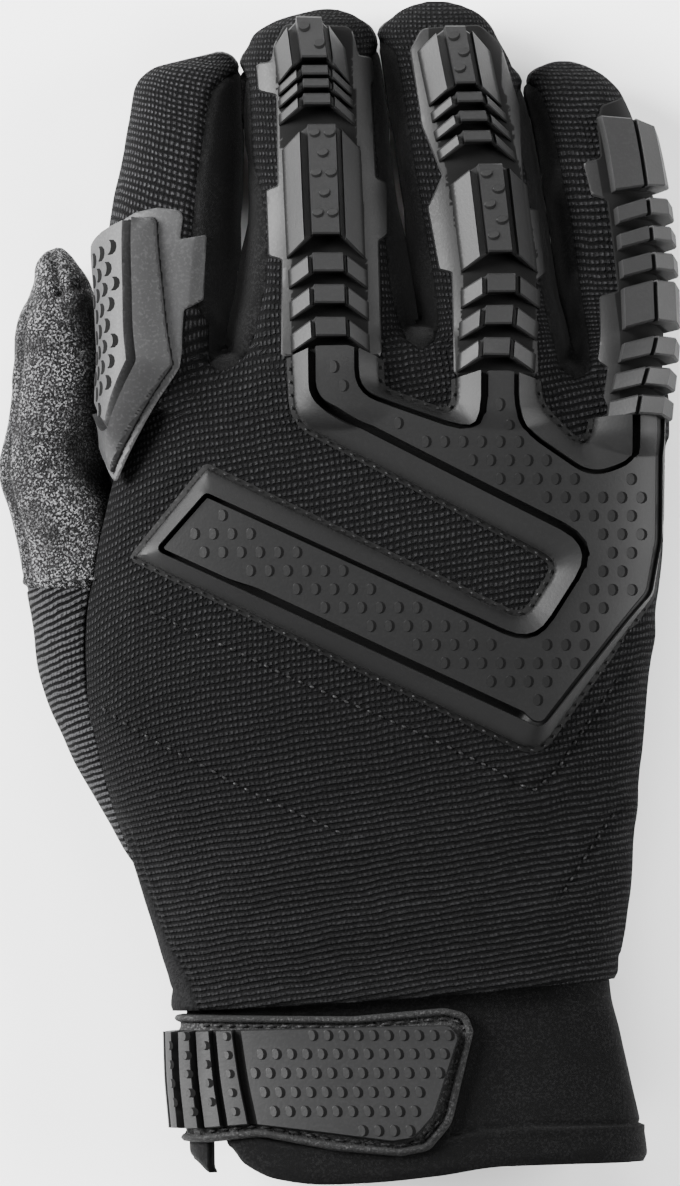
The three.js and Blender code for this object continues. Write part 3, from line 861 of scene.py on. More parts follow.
def to_segment(x, y, a, b):
    """Distance from points to a line between two ends, and the share along it."""
    dx, dy = b[0] - a[0], b[1] - a[1]
    t = np.clip(((x - a[0]) * dx + (y - a[1]) * dy) / (dx * dx + dy * dy), 0, 1)
    return np.hypot(x - a[0] - t * dx, y - a[1] - t * dy), t


def to_line(x, y, line):
    """Distance to a line of several stretches."""
    return np.min([to_segment(x, y, a, b)[0] for a, b in zip(line[:-1], line[1:])], axis=0)


def folds(x, y):
    """Height of the cloth's soft folds."""
    total = 0
    for x0, y0, x1, y1, width, height in zip(*FOLDS.values()):
        distance, t = to_segment(x, y, (x0, y0), (x1, y1))
        ends = np.sin(np.pi * np.clip(t, 0.02, 0.98)) ** 0.7
        total = total + height * ends * bell(distance, width)
    return total


GUARD_CLEAR = 4.0  # how far from a guard the cloth may rise
# Where neighbouring fingers touch: 1 for touching, along Y
TOUCHING = (
    (index, middle_finger, ((40, 1), (71, 1), (77, 0), (88, 0), (94, 1), (110, 1), (114, 0))),
    (middle_finger, ring, ((40, 1), (74, 1), (80, 0), (94, 0), (99, 1), (116, 1), (120, 0))),
    (ring, little, ((34, 1), (106, 1), (110, 0))),
)
# Seam between the back and the thumb's gusset, down to the cuff
SIDE_SEAM = table(
    "y x",
    (-88, -28.2),
    (-79.6, -31.6),
    (-71.4, -36),
    (-60, -40.4),
    (-52, -43.2),
    (-45, -45.6),
    (-34, -49),
    (-20, -52.4),
)


def closing(x, y, z):
    """How far the sides of neighbouring fingers swell until they touch."""
    total = 0
    for left, right, rows in TOUCHING:
        a, a_half, a_level = left.sizes(y)[:3]
        b, b_half, b_level = right.sizes(y)[:3]
        low, high = a + a_half, b - b_half
        share = np.interp(y, *zip(*rows))
        level = bell(z - (a_level + b_level) / 2, 4.5)
        near = 1 - ramp(np.abs(x - (low + high) / 2) - (high - low) / 2, 1, 4)
        total = total + share * level * near * np.clip((high - low) / 2 - 0.08, 0, 1.8)
    return total


def beside_seam(x, y):
    """Distance to the right of the seam beside the thumb."""
    return x - curve(y, SIDE_SEAM["y"], SIDE_SEAM["x"])


def cloth_relief(p):
    """How far each point of the cloth is moved out along its normal."""
    x, y, z = p.T
    back = ramp(seam_field(p), 0, 6)
    seams = np.abs(seam_field(p))
    for rows in SLITS.values():
        seams = np.minimum(seams, np.abs(fourchette_field(p, rows)))
    relief = -0.55 * bell(seams, 0.7) + 0.18 * bell(seams - 2, 1.2)
    guarded = np.maximum(inside(knuckle_outline(), x, y), inside(knuckle_centre(), x, y))
    free = back * ramp(-guarded, 2, 2 + GUARD_CLEAR) * (1 - ramp(y, 44, 52))
    relief += free * (folds(x, y) + 0.3 * noise(x, y * 1.8, z, 16, 3))
    for line in QUILT_LINES:
        distance = to_line(x, y, line)
        relief -= back * (0.5 * bell(distance, 0.8) - 0.22 * bell(distance - 3, 2))
    side = beside_seam(x, y)
    low = (1 - ramp(y, -52, -46)) * ramp(z, 12, 16)
    relief -= low * (0.8 * bell(side, 0.5) - 0.5 * bell(side - 1.2, 0.6))
    relief += closing(x, y, z)
    palm = 1 - ramp(seam_field(p), -6, 0)
    relief += palm * ramp(z, 1.5, 5) * 0.35 * noise(x, y, z, 13, 5)
    fingers = ramp(y, 56, 62)
    crease = bell(y - 78 - 4 * np.sin(x / 9), 1.6) + bell(y - 99, 1.4)
    relief -= palm * fingers * 0.35 * crease
    hem = hem_field(p)
    relief += 0.45 * bell(hem - 1.5, 1.3) - 0.3 * bell(hem - 4.6, 0.6)
    side = ramp(x, 52, 62) * (1 - ramp(y, -8, 4)) * back
    relief += side * 0.5 * np.sin(y / 2.6 + 1.2 * np.sin(y / 7)) * ramp(hem, 4, 12)
    return relief


# How far the knit's columns lean to the right, for a millimetre towards the wrist
LEAN = table(
    "y lean",
    (-95, 0.27),
    (-57, 0.27),
    (-30, 0.1),
    (-10, -0.05),
    (10, 0),
    (30, 0.1),
    (52, 0.1),
    (60, 0),
)


def weave_of(p, tubes, strength, bend=0.008):
    """Coordinates along and across the knit's ribs, and how strongly its stitches part."""
    x, y, z = p.T
    distance = np.stack([t.field(x, y, z) for t in tubes])
    owner = distance.argmin(0)
    steps = np.linspace(-95, 60, 156)
    leans = np.interp(steps, LEAN["y"], LEAN["lean"])[1:] * np.diff(steps)
    u = x + np.interp(y, steps, np.concatenate([[0], np.cumsum(leans)]))
    v = 0.92 * y - 0.001 * np.minimum(y, 0) ** 2
    for k, tube in enumerate(tubes):
        mine = owner == k
        middle, _, widest, up, _, _ = tube.sizes(y[mine])
        crown = widest + up
        drop = np.maximum(crown - z[mine], 0)
        u[mine] += np.sign(x[mine] - middle) * 0.8 * drop
        if tube is not hand:
            v[mine] += 0.6 * np.maximum(23 - crown, 0)
            u[mine] -= middle - tube.sizes(np.array([52.0]))[0][0] if len(tubes) > 1 else 0
        if tube is index:
            v[mine] += 0.3 * (x[mine] + 33) * ramp(y[mine], 58, 85)
    slope = 0.18 * (1 - ramp(y, 45, 65))
    v += ramp(y, -62, -25) * (1 - ramp(y, 40, 60)) * bend * np.maximum(-28 - x, 0) ** 2 - slope * x
    return np.stack([1.17 * u, v, strength], 1)


LOWEST = 0.02  # height of the cloth's patches that lie on the floor


@lru_cache(None)
def cloth_surface():
    """The outer surface of the hand and fingers, with folds and seam grooves."""
    step = bpy.context.scene.glove.cloth_step / M
    points, faces = surface(body_field, (-55.0, -93.0, -3.0), (71.0, 125.0, 41.0), step)
    points, faces = kept(points, faces, hem_field)
    relief = cloth_relief(points)
    moved = points + normals(points, faces) * relief[:, None]
    moved[:, 2] = np.maximum(moved[:, 2], LOWEST)
    return points, moved, faces


def panel(field):
    """The stretch of the cloth where a field of its first points is positive."""
    points, moved, faces = cloth_surface()
    both = np.concatenate([points, moved], 1)
    return kept(both, faces, lambda q: field(q[:, :3]))


def cloth_shell(both, faces, thickness):
    """Outer and inner layers of a panel, closed along its edges."""
    outer = both[:, 3:]
    inner = outer - normals(outer, faces) * thickness
    inner[:, 2] = np.maximum(inner[:, 2], thickness)
    return closed(outer, inner, faces)


KNIT_WALL, LEATHER_WALL, STRETCH_WALL = 1.3, 1.2, 1.0


def all_strips(p):
    """How far inside any strip between the fingers."""
    return np.max([fourchette_field(p, rows) for rows in SLITS.values()], axis=0)


def build_back(looks):
    both, faces = panel(lambda p: np.minimum(seam_field(p), -all_strips(p)))
    points, triangles = cloth_shell(both, faces, KNIT_WALL)
    outer = both[:, :3]
    x, y = outer[:, 0], outer[:, 1]
    strength = 0.35 + 0.65 * ramp(y, -62, -10) * (1 - 0.5 * ramp(x, 30, 60))
    strength *= 1 - (1 - ramp(beside_seam(x, y), -0.6, 0)) * (1 - ramp(y, -62, -56))
    weave = np.tile(weave_of(outer, (hand,) + FINGERS, strength), (2, 1))
    # Painted light and shade over the knit: darker towards the wrist, lighter towards the little finger's
    # side, lighter on the index finger, and a little lighter beside the thumb's seam.
    tone = 0.38 - 0.12 * (1 - ramp(y, -40, 0)) + 0.1 * ramp(x, 24, 50)
    tone += 0.42 * (1 - ramp(x, -30, -18)) * ramp(y, 50, 62)
    tone += 0.05 * (1 - ramp(beside_seam(x, y), -2, 0))
    points = np.column_stack([points, np.tile(tone, 2)])
    add_piece("back_knit", points, triangles, looks["knit"], "knit", ["back_panel"], weave=weave)


def build_palm(looks):
    both, faces = panel(lambda p: np.minimum(-seam_field(p), -all_strips(p)))
    points, triangles = cloth_shell(both, faces, LEATHER_WALL)
    add_piece("palm_leather", points, triangles, looks["palm"], "palm_leather", ["palm_panel"])


def build_fourchettes(looks):
    for name, rows in SLITS.items():
        both, faces = panel(lambda p: fourchette_field(p, rows))
        points, triangles = cloth_shell(both, faces, STRETCH_WALL)
        add_piece(f"strip_{name}", points, triangles, looks["stretch"], "stretch", [f"fourchette_{name}"])


# Thumb

THUMB_SEAM = 1.0  # Y where the leather meets the knit gusset
GUSSET_PAINTED_LIGHT = 1.7  # painted light: how much lighter the gusset's knit is painted than the darkest of the back
# Creases of its leather: both ends, half width and depth
THUMB_CREASES = (
    ((-60.3, 73), (-58.4, 63), 0.8, 1.5),
    ((-58.6, 62.6), (-51, 64.4), 0.8, 0.9),
    ((-66, 61.4), (-58.6, 61.8), 0.7, 0.5),
    ((-54, 30), (-47, 20), 2.5, 1.0),
    ((-56, 12), (-48, 8), 2.2, 0.8),
)


@lru_cache(None)
def thumb_surface():
    """The thumb's outer surface before and after its relief, and its painted shade along seams and creases
    and on its right side.
    """
    step = bpy.context.scene.glove.cloth_step / M
    points, faces = surface(thumb.field, (-73.0, -64.0, -3.0), (-24.0, 74.0, 33.0), step)
    points, faces = kept(points, faces, lambda p: body_field(*p.T) - 0.2)
    x, y, z = points.T
    seam = y - THUMB_SEAM
    leather = ramp(seam, -0.3, 0.3)
    relief = leather * (0.3 + 0.5 * noise(x, y, z, 9, 11) + 0.25 * noise(x, y, z, 4.5, 12))
    middle, half = thumb.sizes(y)[:2]
    above = leather * ramp(z, 8, 13)
    for a, b, width, depth in THUMB_CREASES:
        relief -= above * depth * bell(to_segment(x, y, a, b)[0], width)
    edge = middle - half - x
    band = above * (1 - ramp(y, 56, 62))
    relief -= band * (0.9 * bell(edge + 1.7, 0.4) - 0.4 * bell(edge + 0.7, 0.5))
    relief -= 0.8 * bell(seam, 0.5) - 0.5 * bell(seam - 1.3, 0.8)
    relief += (1 - leather) * 0.35 * noise(x, y * 1.5, z, 12, 13)
    near = body_field(*points.T)
    relief *= ramp(near, 0, 2)
    moved = points + normals(points, faces) * relief[:, None]
    moved[:, 2] = np.maximum(moved[:, 2], LOWEST)
    # Painted shade: a dark line in the edge seam's groove, in the upper creases, and over the thumb's right
    # side.
    dark = 0.9 * band * bell(edge + 1.7, 0.5)
    for a, b, width, depth in THUMB_CREASES[:3]:
        dark = np.maximum(dark, 0.8 * above * bell(to_segment(x, y, a, b)[0], width))
    dark = np.maximum(dark, 0.45 * above * ramp(x - middle, 1, 6) * ramp(y, 2, 10))
    return points, moved, faces, dark


def build_thumb(looks):
    points, moved, faces, dark = thumb_surface()
    both = np.column_stack([points, moved, dark])
    for name, side, wall, look, slot, node in (
        ("thumb_hide", 1, LEATHER_WALL, "leather", "thumb_leather", "thumb_leather"),
        ("thumb_knit", -1, KNIT_WALL, "knit", "knit", "thumb_gusset"),
    ):
        part, triangles = kept(both, faces, lambda q: side * (q[:, 1] - THUMB_SEAM))
        shell, shell_faces = cloth_shell(part[:, :6], triangles, wall)
        weave = weave_of(part[:, :3], (thumb,), np.full(len(part), 0.35), bend=0.004)
        # The leather's lift carries its painted shade, and the gusset's its painted light.
        tone = np.tile(part[:, 6], 2) if side > 0 else np.full(len(shell), GUSSET_PAINTED_LIGHT)
        shell = np.column_stack([shell, tone])
        add_piece(name, shell, shell_faces, looks[look], slot, [node], weave=np.tile(weave, (2, 1)))


# Cuff

SLIT_MIDDLE, SLIT_HALF = -25.3, 1.9  # X and half width of the cuff's slit
SLIT_END, SLIT_FOOT = -92.0, 17.0  # Y of its upper end, and the height that it is cut down to
NEOPRENE_WALL = 2.3
HEM_FOLD = 8.0  # height of the cuff's folded hem


def cuff_edge(x, z):
    """Y of the cuff's open edge."""
    upper = curve(x, CUFF_EDGE["x"], CUFF_EDGE["y"])
    lower = -118.0 + 6 * ramp(x, -33, -29) * (1 - ramp(x, -20, -14))
    return upper + (lower - upper) * (1 - ramp(z, 12, 17))


def build_cuff(looks):
    turns, rows = 360, 74
    angles = np.linspace(0, 2 * math.pi, turns, endpoint=False)
    ys = np.linspace(-124, -76, rows)
    y, a = (v.ravel() for v in np.meshgrid(ys, angles, indexing="ij"))
    base, out = cuff_tube.point(y, a)
    j, i = (v.ravel() for v in np.meshgrid(np.arange(rows - 1), np.arange(turns), indexing="ij"))
    at = j * turns + i
    on = j * turns + (i + 1) % turns
    faces = np.concatenate([np.stack([at, on, on + turns], 1), np.stack([at, on + turns, at + turns], 1)])
    x, z = base[:, 0], base[:, 2]
    above = y - cuff_edge(x, z)
    relief = 0.5 * (1 - ramp(above, HEM_FOLD - 0.3, HEM_FOLD + 0.3))
    relief -= 0.7 * bell(above - HEM_FOLD, 0.4)
    relief += 0.35 * bell(above - HEM_FOLD + 0.9, 0.5)
    relief -= 0.9 * bell(above, 0.9)
    relief += 0.5 * noise(x * 1.6, y * 0.5, z, 15, 21) * ramp(y, -116, -104)
    puckered = ramp(x, 26, 48) * ramp(-y, 84, 92) * (1 - ramp(-y, 104, 112))
    relief += 0.35 * puckered * np.sin((x + 0.35 * y) / 3.6)
    both = np.concatenate([base, base + out * relief[:, None], out], 1)

    def cloth(q):
        x, y, z = q[:, :3].T
        beside_slit = np.maximum(np.abs(x - SLIT_MIDDLE) - SLIT_HALF, y - SLIT_END)
        return np.minimum(y - cuff_edge(x, z), np.maximum(beside_slit, SLIT_FOOT - z))

    both, faces = kept(both, faces, cloth)
    outer = both[:, 3:6]
    inner = outer - unit(both[:, 6:]) * NEOPRENE_WALL
    points, triangles = closed(outer, inner, faces)
    add_piece("cuff_neoprene", points, triangles, looks["neoprene"], "neoprene", ["cuff"])


# Wrist strap

STRAP_AT = -101.0  # Y of the section along which the strap is measured


@lru_cache(None)
def strap_arc():
    """Angles round the cuff under the strap, and their arc lengths from its top."""
    return cuff_tube.arc(STRAP_AT, 2.5)


def strap_s(x, grow=2.5):
    """Arc length from the top of the cuff for a place seen from above."""
    angles, length = strap_arc()
    upper = (angles > 0) & (angles < math.pi)
    seen = cuff_tube.point(np.full(upper.sum(), STRAP_AT), angles[upper], np.full(upper.sum(), grow))[0][:, 0]
    order = np.argsort(seen)
    return np.interp(x, seen[order], length[upper][order])


def on_cuff(s, y, height):
    """A point above the cuff by its arc length from the cuff's top."""
    angles, length = strap_arc()
    angle = np.interp(-s, -length, angles)
    return cuff_tube.point(y, angle, height)[0]


# Corners seen from above, with a radius
STRAP_OUTLINE = (
    (-30, -87.6, 0.3),
    (4, -87.8, 20),
    (24, -86.0, 6),
    (28.8, -87.2, 2.6),
    (29.6, -91, 2),
    (21.6, -110, 10),
    (16.4, -115.6, 4),
    (10.4, -116.8, 3),
    (-3, -115.6, 20),
    (-18, -112.8, 12),
    (-30, -114.2, 0.3),
)
PLATE_OUTLINE = (
    (-30, -90.9, 0.3),
    (24.6, -89.6, 2.2),
    (26.2, -92.2, 2.0),
    (18.2, -108.6, 8),
    (13.4, -113.2, 3),
    (9, -113.9, 3),
    (-4, -112.2, 20),
    (-19, -110.4, 10),
    (-30, -111.4, 0.3),
)
STRAP_END = -83.0  # arc length of the sewn end under the wrist
PLATE_END = -64.0
# Gaps between the ribs where the strap turns: place at the top, how far the foot lies to the right, width
RIB_GAPS = table("x lean width", (-34.3, 0.4, 2.1), (-31.1, 0.8, 1.6), (-26.9, 1.4, 1.8), (-21.6, 2.2, 2.2))
RIB_PITCH = 4.3  # from rib to rib further round the wrist
STRAP_FIELD = -20.6  # X where the plate's dimpled field starts
BAND_TOP, PLATE_TOP, RIB_TOP = 1.3, 3.3, 4.7
BAND_DITCH, GAP_FLOOR = 1.0, 1.35  # heights of the ditch inside the welt, and between the ribs
WELT_RADIUS, WELT_FOOT, WELT_RISE, WELT_WIDTH = 0.85, 0.75, 1.5, 1.62


def around(corners, end):
    """A strap's outline with its open end carried round under the wrist."""
    points = rounded(corners)
    points[:, 0] = strap_s(points[:, 0])
    left = points[:, 0] < strap_s(-29.9)
    points[left, 0] = end
    return points


def band_height(outline):
    """Height of the strap's band: a round welt along its edge, a ditch inside it, and the flat middle."""

    def height(x, y):
        d = inside(outline, x, y)
        crown = np.clip(1 - ((d - WELT_RADIUS) / WELT_RADIUS) ** 2, 0, 1)
        flat = BAND_DITCH + (BAND_TOP - BAND_DITCH) * ramp(d, 2.7, 3.1)
        return np.where(d < WELT_WIDTH, WELT_FOOT + WELT_RISE * np.sqrt(crown), flat)

    return height


def rib_gaps():
    """Gaps between the strap's ribs: arc length at the top, how far the foot lies to the right, width."""
    seen = [(strap_s(x, RIB_TOP), lean, width) for x, lean, width in zip(*RIB_GAPS.values())]
    return [(seen[0][0] - RIB_PITCH * k, 0.4, 1.4) for k in (2, 1)] + seen


def gap_field(s, y):
    """Distance into the gaps between the strap's ribs."""
    top, foot = -90, -112
    best = np.full(np.shape(s), -9.0)
    for place, lean, width in rib_gaps():
        line = place + lean * (top - y) / (top - foot)
        best = np.maximum(best, width / 2 - np.abs(s - line))
    return best


def build_strap(looks):
    band = around(STRAP_OUTLINE, STRAP_END)
    plate = around(PLATE_OUTLINE, PLATE_END)
    edges = levels(within(band), 0.2, WELT_RADIUS, 1.45, WELT_WIDTH, 2.9)
    points, faces = moulding(band, 0.0, 0.7, edges, band_height(band), on_cuff)
    add_piece("strap_webbing", points, faces, looks["webbing"], "webbing", ["strap_band"], sharp=50)

    turn = strap_s(-27.5)
    foot = BAND_TOP + 0.2
    edge, wall = 0.3, 0.15  # widths of the plate's rounded edge and of a gap's steep side
    top = lambda x, y: PLATE_TOP + (RIB_TOP - PLATE_TOP) * ramp(turn - x, 0, 7) * (1 - ramp(-x, 56, 62))

    def height(x, y):
        rise = foot + (top(x, y) - foot) * between(inside(plate, x, y), 0, edge) ** 0.7
        floor = rise - (top(x, y) - foot) * between(gap_field(x, y), 0, wall)
        return np.where(gap_field(x, y) > 0, np.maximum(floor, GAP_FLOOR), rise)

    lines = levels(within(plate), 0.4 * edge, edge) + levels(gap_field, 0, wall)
    body = moulding(plate, 0.0, 0.6, lines, height, on_cuff)
    spots = staggered((strap_s(STRAP_FIELD) + 1.6, -111.6), (38, -90), 3.2, 3.95)
    depth = inside(plate, *spots.T)
    spots = spots[(depth > 1.5) & (gap_field(*spots.T) < -1)]
    ribs = []
    gaps = [place for place, _, _ in rib_gaps()[1:]]
    for k, (a, b) in enumerate(zip(gaps[:-1], gaps[1:])):
        for j in range(5):
            y = -94 - 3.9 * j + 1.9 * (k % 2)
            if y < -109.5:
                continue
            ribs.append(((a + b) / 2 + 0.05 * (-90 - y) + 0.25, y))
    scales = crescents(spots, top, on_cuff, 1.1, 0.24, foot=0.75)
    small = crescents(ribs, top, on_cuff, 0.8, 0.2, foot=0.9)
    points, faces = joined([body, scales, small])
    add_piece("strap_rubber", points, faces, looks["strap_rubber"], "strap_rubber", ["strap_plate"], sharp=28)
    return band


# Knuckle guard

KNUCKLE_OUTLINE = (
    (-27.5, 25.6, 0.4),
    (38.1, -6, 4.6),
    (45.8, 6.4, 4),
    (-9.2, 35.6, 8),
    (-10.6, 62, 0.2),
    (7.5, 62, 0.2),
    (8.1, 41.8, 3),
    (24.3, 35.8, 3.8),
    (24.1, 62, 0.2),
    (39.7, 62, 0.2),
    (40.6, 39.1, 9),
    (51.6, 27.6, 3.8),
    (56.2, 62, 0.2),
    (67.4, 62, 0.2),
    (66.6, 15, 20),
    (64.4, -0.4, 6),
    (40.8, -33.1, 5.2),
    (-42.2, 7.5, 0.4),
)
KNUCKLE_CENTRE = (
    (-36.2, 9.2, 0.2),
    (-27.2, 19.6, 0.2),
    (40.1, -11.4, 8),
    (53.5, 10, 8),
    (-5.4, 39.9, 5.4),
    (-5.6, 62, 0.2),
    (2.7, 62, 0.2),
    (2.9, 41, 7),
    (30.2, 31.6, 6.2),
    (30, 62, 0.2),
    (35.8, 62, 0.2),
    (35.8, 34.5, 12),
    (51.6, 23.6, 8),
    (60.9, 27.2, 5.6),
    (61, 62, 0.2),
    (64.6, 62, 0.2),
    (64, 11, 12),
    (62.2, 0.6, 4),
    (41.2, -26.8, 1.6),
)
# Where each lobe of the guard ends: its middle, that end, and how much lower the sides end
LOBES = ((-1.5, 50.6, 0.32), (31.8, 45.6, 0.25), (62, 36.8, 0.1))
CHANNEL, STEP = 1.0, 0.14  # width of the groove inside the rim, and of a steep edge
FLANGE, RIM_FOOT, RIM_TOP, DITCH, FLOOR = 0.55, 1.5, 4.2, 1.3, 3.5
FLANGE_REACH = 1.2  # how far the sewn edge shows outside the rim


@lru_cache(None)
def knuckle_outline():
    return rounded(KNUCKLE_OUTLINE)


@lru_cache(None)
def knuckle_centre():
    return rounded(KNUCKLE_CENTRE)


def rim_height(a, c, channel=CHANNEL, ditch=DITCH, rise=2 * STEP, floor=None):
    """Height of a guard by the distance inside its outline and inside its centre.

    floor is the distance inside the raised floor, where that is smaller than the centre.
    """
    floor = c if floor is None else floor
    outer = FLANGE * np.clip(1 + 0.7 * a / FLANGE_REACH, 0.3, 1)
    wall = FLANGE + (RIM_FOOT - FLANGE) * between(a, 0, STEP)
    across = np.clip(a / np.maximum(a - c - channel, 1e-6), 0, 1)
    bevel = np.where(a < STEP, wall, RIM_FOOT + (RIM_TOP - RIM_FOOT) * across)
    drop = RIM_TOP + (ditch - RIM_TOP) * between(c, -channel, STEP - channel)
    side = ditch + (FLOOR - ditch) * between(floor, -rise, 0)
    height = np.where(c < -channel, bevel, np.where(floor < -rise, drop, side))
    return np.where(a < 0, outer, height)


def lobe_end(x, y):
    """Distance to the end of the lobe that a place lies on."""
    middles, ends, slopes = (np.array(column) for column in zip(*LOBES))
    k = np.abs(x[:, None] - middles).argmin(1)
    return ends[k] - slopes[k] * np.maximum(np.abs(x - middles[k]) - 3, 0) - y


def side_end(x, y):
    """Distance to the hand's side, where the guard ends too."""
    return curve(y, HAND["y"], HAND["right"]) - 0.35 - x


def guard_lines(outline, centre, floor, channel=CHANNEL, rise=2 * STEP):
    """Lines at which a guard's height turns."""
    lines = levels(within(outline), 0, STEP) + levels(within(centre), -channel, STEP - channel)
    return lines + levels(floor, -rise, 0)


def add_guard(name, node, parts, look):
    points, faces = joined(parts)
    add_piece(name, points, faces, look, "guard_rubber", [node], sharp=24)


WIDER = 0.75  # how much wider the groove is along the floor's lower left sides


def knuckle_floor(x, y):
    """Distance inside the knuckle guard's floor, past its groove."""
    c = inside(knuckle_centre(), x, y)
    away = inside(knuckle_centre(), x + 0.22, y + 0.35) - c
    return c - WIDER * ramp(away, -0.05, 0.38) * ramp(x, -24, -16) * (1 - shallow(x, y))


def knuckle_ditch(x, y):
    """Height of the groove's bottom."""
    return DITCH + (FLOOR - 0.35 - DITCH) * shallow(x, y)


def shallow(x, y):
    """1 where the groove is shallow, along the little finger's side."""
    side = np.maximum(ramp(x, 57, 61) * (1 - ramp(y, 14, 22)), ramp(x, 62.3, 63.3))
    slanted = ramp(0.794 * x - 0.608 * y, 44.5, 47.5) * (1 - ramp(y, 0, 8))
    return np.maximum(side, slanted)


def build_knuckle_guard(looks):
    outline, centre = knuckle_outline(), knuckle_centre()

    def height(x, y):
        a, c = inside(outline, x, y), inside(centre, x, y)
        return rim_height(a, c, ditch=knuckle_ditch(x, y), floor=knuckle_floor(x, y))

    lines = guard_lines(outline, centre, knuckle_floor)
    # Painted shade: low places, such as the groove inside the rim, are painted darker by their height, and
    # the sewn edge outside the rim gets a fixed, partial painted shade.
    lift = lambda x, y, h: np.where(inside(outline, x, y) < 0, 1.6, h)
    trim = (lobe_end, side_end)
    body = moulding(outline, FLANGE_REACH, 0.5, lines, height, lifted, trim=trim, lift=lift)
    spots = staggered((-40, -30), (66, 52), 3.8, 3.8, start=(0.6, 0.4))
    depth = knuckle_floor(*spots.T)
    spots = spots[(depth > 1.9) & (lobe_end(*spots.T) > 1.5) & (side_end(*spots.T) > 2.5)]
    scales = crescents(spots, lambda x, y: np.full_like(x, FLOOR), lifted, 1.15, 0.17, foot=0.62)
    add_guard("knuckle_rubber", "knuckle_guard", [body, scales], looks["rubber"])


# Finger guards, laid on the tops of the middle and ring fingers

MIDDLE_FLANGE = (
    (-11.5, 118.6, 2),
    (-13.8, 114, 1),
    (-14.2, 110.6, 0.4),
    (-17.4, 110.2, 0.6),
    (-17.0, 104.4, 0.6),
    (-13.2, 103.4, 0.4),
    (-12.9, 84.6, 0.4),
    (-15.3, 83.8, 0.6),
    (-14.8, 69.8, 0.6),
    (-12, 69, 0.4),
    (-12.2, 49, 0.4),
    (8.6, 49, 0.4),
    (8, 73, 0.4),
    (9.8, 74.2, 0.6),
    (9.8, 85.2, 0.6),
    (7.4, 86.4, 0.4),
    (6.4, 106, 0.4),
    (7, 107, 0.4),
    (6.6, 111.6, 0.6),
    (3.8, 112, 0.4),
    (2.4, 118, 2),
)
RING_FLANGE = (
    (17, 117.6, 2),
    (14.6, 113, 1),
    (17, 97, 0.6),
    (21.2, 86.6, 0.4),
    (18.2, 80, 0.6),
    (20.6, 67, 0.6),
    (23.2, 66.4, 0.4),
    (23.6, 45, 0.4),
    (41, 45, 0.4),
    (40.6, 64.6, 0.4),
    (42.6, 66.4, 0.6),
    (41.2, 79.6, 0.6),
    (38.2, 80.2, 0.4),
    (37.4, 101, 0.6),
    (33.4, 114.6, 1),
    (29, 118.4, 2),
)
# Raised segments: both ends of the middle, its place across at each end, the half widths of its flat
# top and of its whole, how far the sides' ends lie nearer the wrist, the width of the grooves beside
# the top, and whether the top is dimpled
SEGMENT = "y0 y1 x0 x1 flat half drop groove dimples"
MIDDLE_SEGMENTS = table(
    SEGMENT,
    (111.2, 118.8, -5.4, -6.4, 2.4, 7.3, 5.6, 0.9, 1),
    (107.6, 109.5, -5.2, -5.3, 2.4, 7.5, 4.4, 0.5, 0),
    (104.9, 106.8, -5.0, -5.1, 2.4, 7.6, 4.4, 0.5, 0),
    (101.4, 103.7, -4.8, -4.9, 2.5, 7.7, 4.4, 0.5, 0),
    (74.6, 97.4, -2.9, -3.9, 2.6, 8.0, 5.4, 0.8, 1),
    (66.7, 70.6, -2.4, -2.6, 2.9, 8.1, 3.8, 0.4, 0),
    (60.1, 64.0, -2.2, -2.3, 2.9, 8.1, 3.8, 0.4, 0),
    (53.3, 57.2, -1.9, -2.1, 2.9, 8.1, 3.8, 0.4, 0),
)
RING_SEGMENTS = table(
    SEGMENT,
    (105.6, 117.2, 26.0, 23.6, 1.8, 7.4, 4.6, 0.9, 1),
    (101.8, 103.9, 26.9, 26.5, 2.3, 7.6, 4.2, 0.5, 0),
    (97.9, 100.0, 27.7, 27.2, 2.4, 7.7, 4.2, 0.5, 0),
    (93.6, 95.9, 28.5, 28.0, 2.5, 7.8, 4.2, 0.5, 0),
    (70.6, 88.9, 32.9, 30.7, 2.1, 7.7, 4.2, 0.9, 1),
    (62.2, 66.1, 33.2, 33.1, 2.5, 8.0, 3.4, 0.5, 0),
    (55.6, 59.5, 32.7, 32.9, 2.5, 8.0, 3.4, 0.5, 0),
    (48.9, 52.8, 32.2, 32.5, 2.5, 8.0, 3.4, 0.5, 0),
)
BLOCK_TOP, BLOCK_SHOULDER, BLOCK_FOOT, BLOCK_GROOVE = 5.3, 4.9, 1.1, 3.0
BEVEL = 0.35


def segment(row, place):
    """One raised block or rib: a flat top, a groove on either side, and sides that slope and slant back."""
    flat, half, drop, groove = row["flat"], row["half"], row["drop"], row["groove"]
    columns = []
    for side, width in ((-1, 1.5 * groove), (1, groove)):
        shoulder = flat + BEVEL + width
        heights = (BLOCK_FOOT, BLOCK_SHOULDER, BLOCK_GROOVE, BLOCK_GROOVE, BLOCK_TOP)
        places = (half, shoulder + 0.1, shoulder, flat + BEVEL, flat)
        columns += [(side * a, h) for a, h in list(zip(places, heights))[::-side]]
    return bar(row["y0"], row["y1"], row["x0"], row["x1"], columns, drop, flat * 0.7, place)


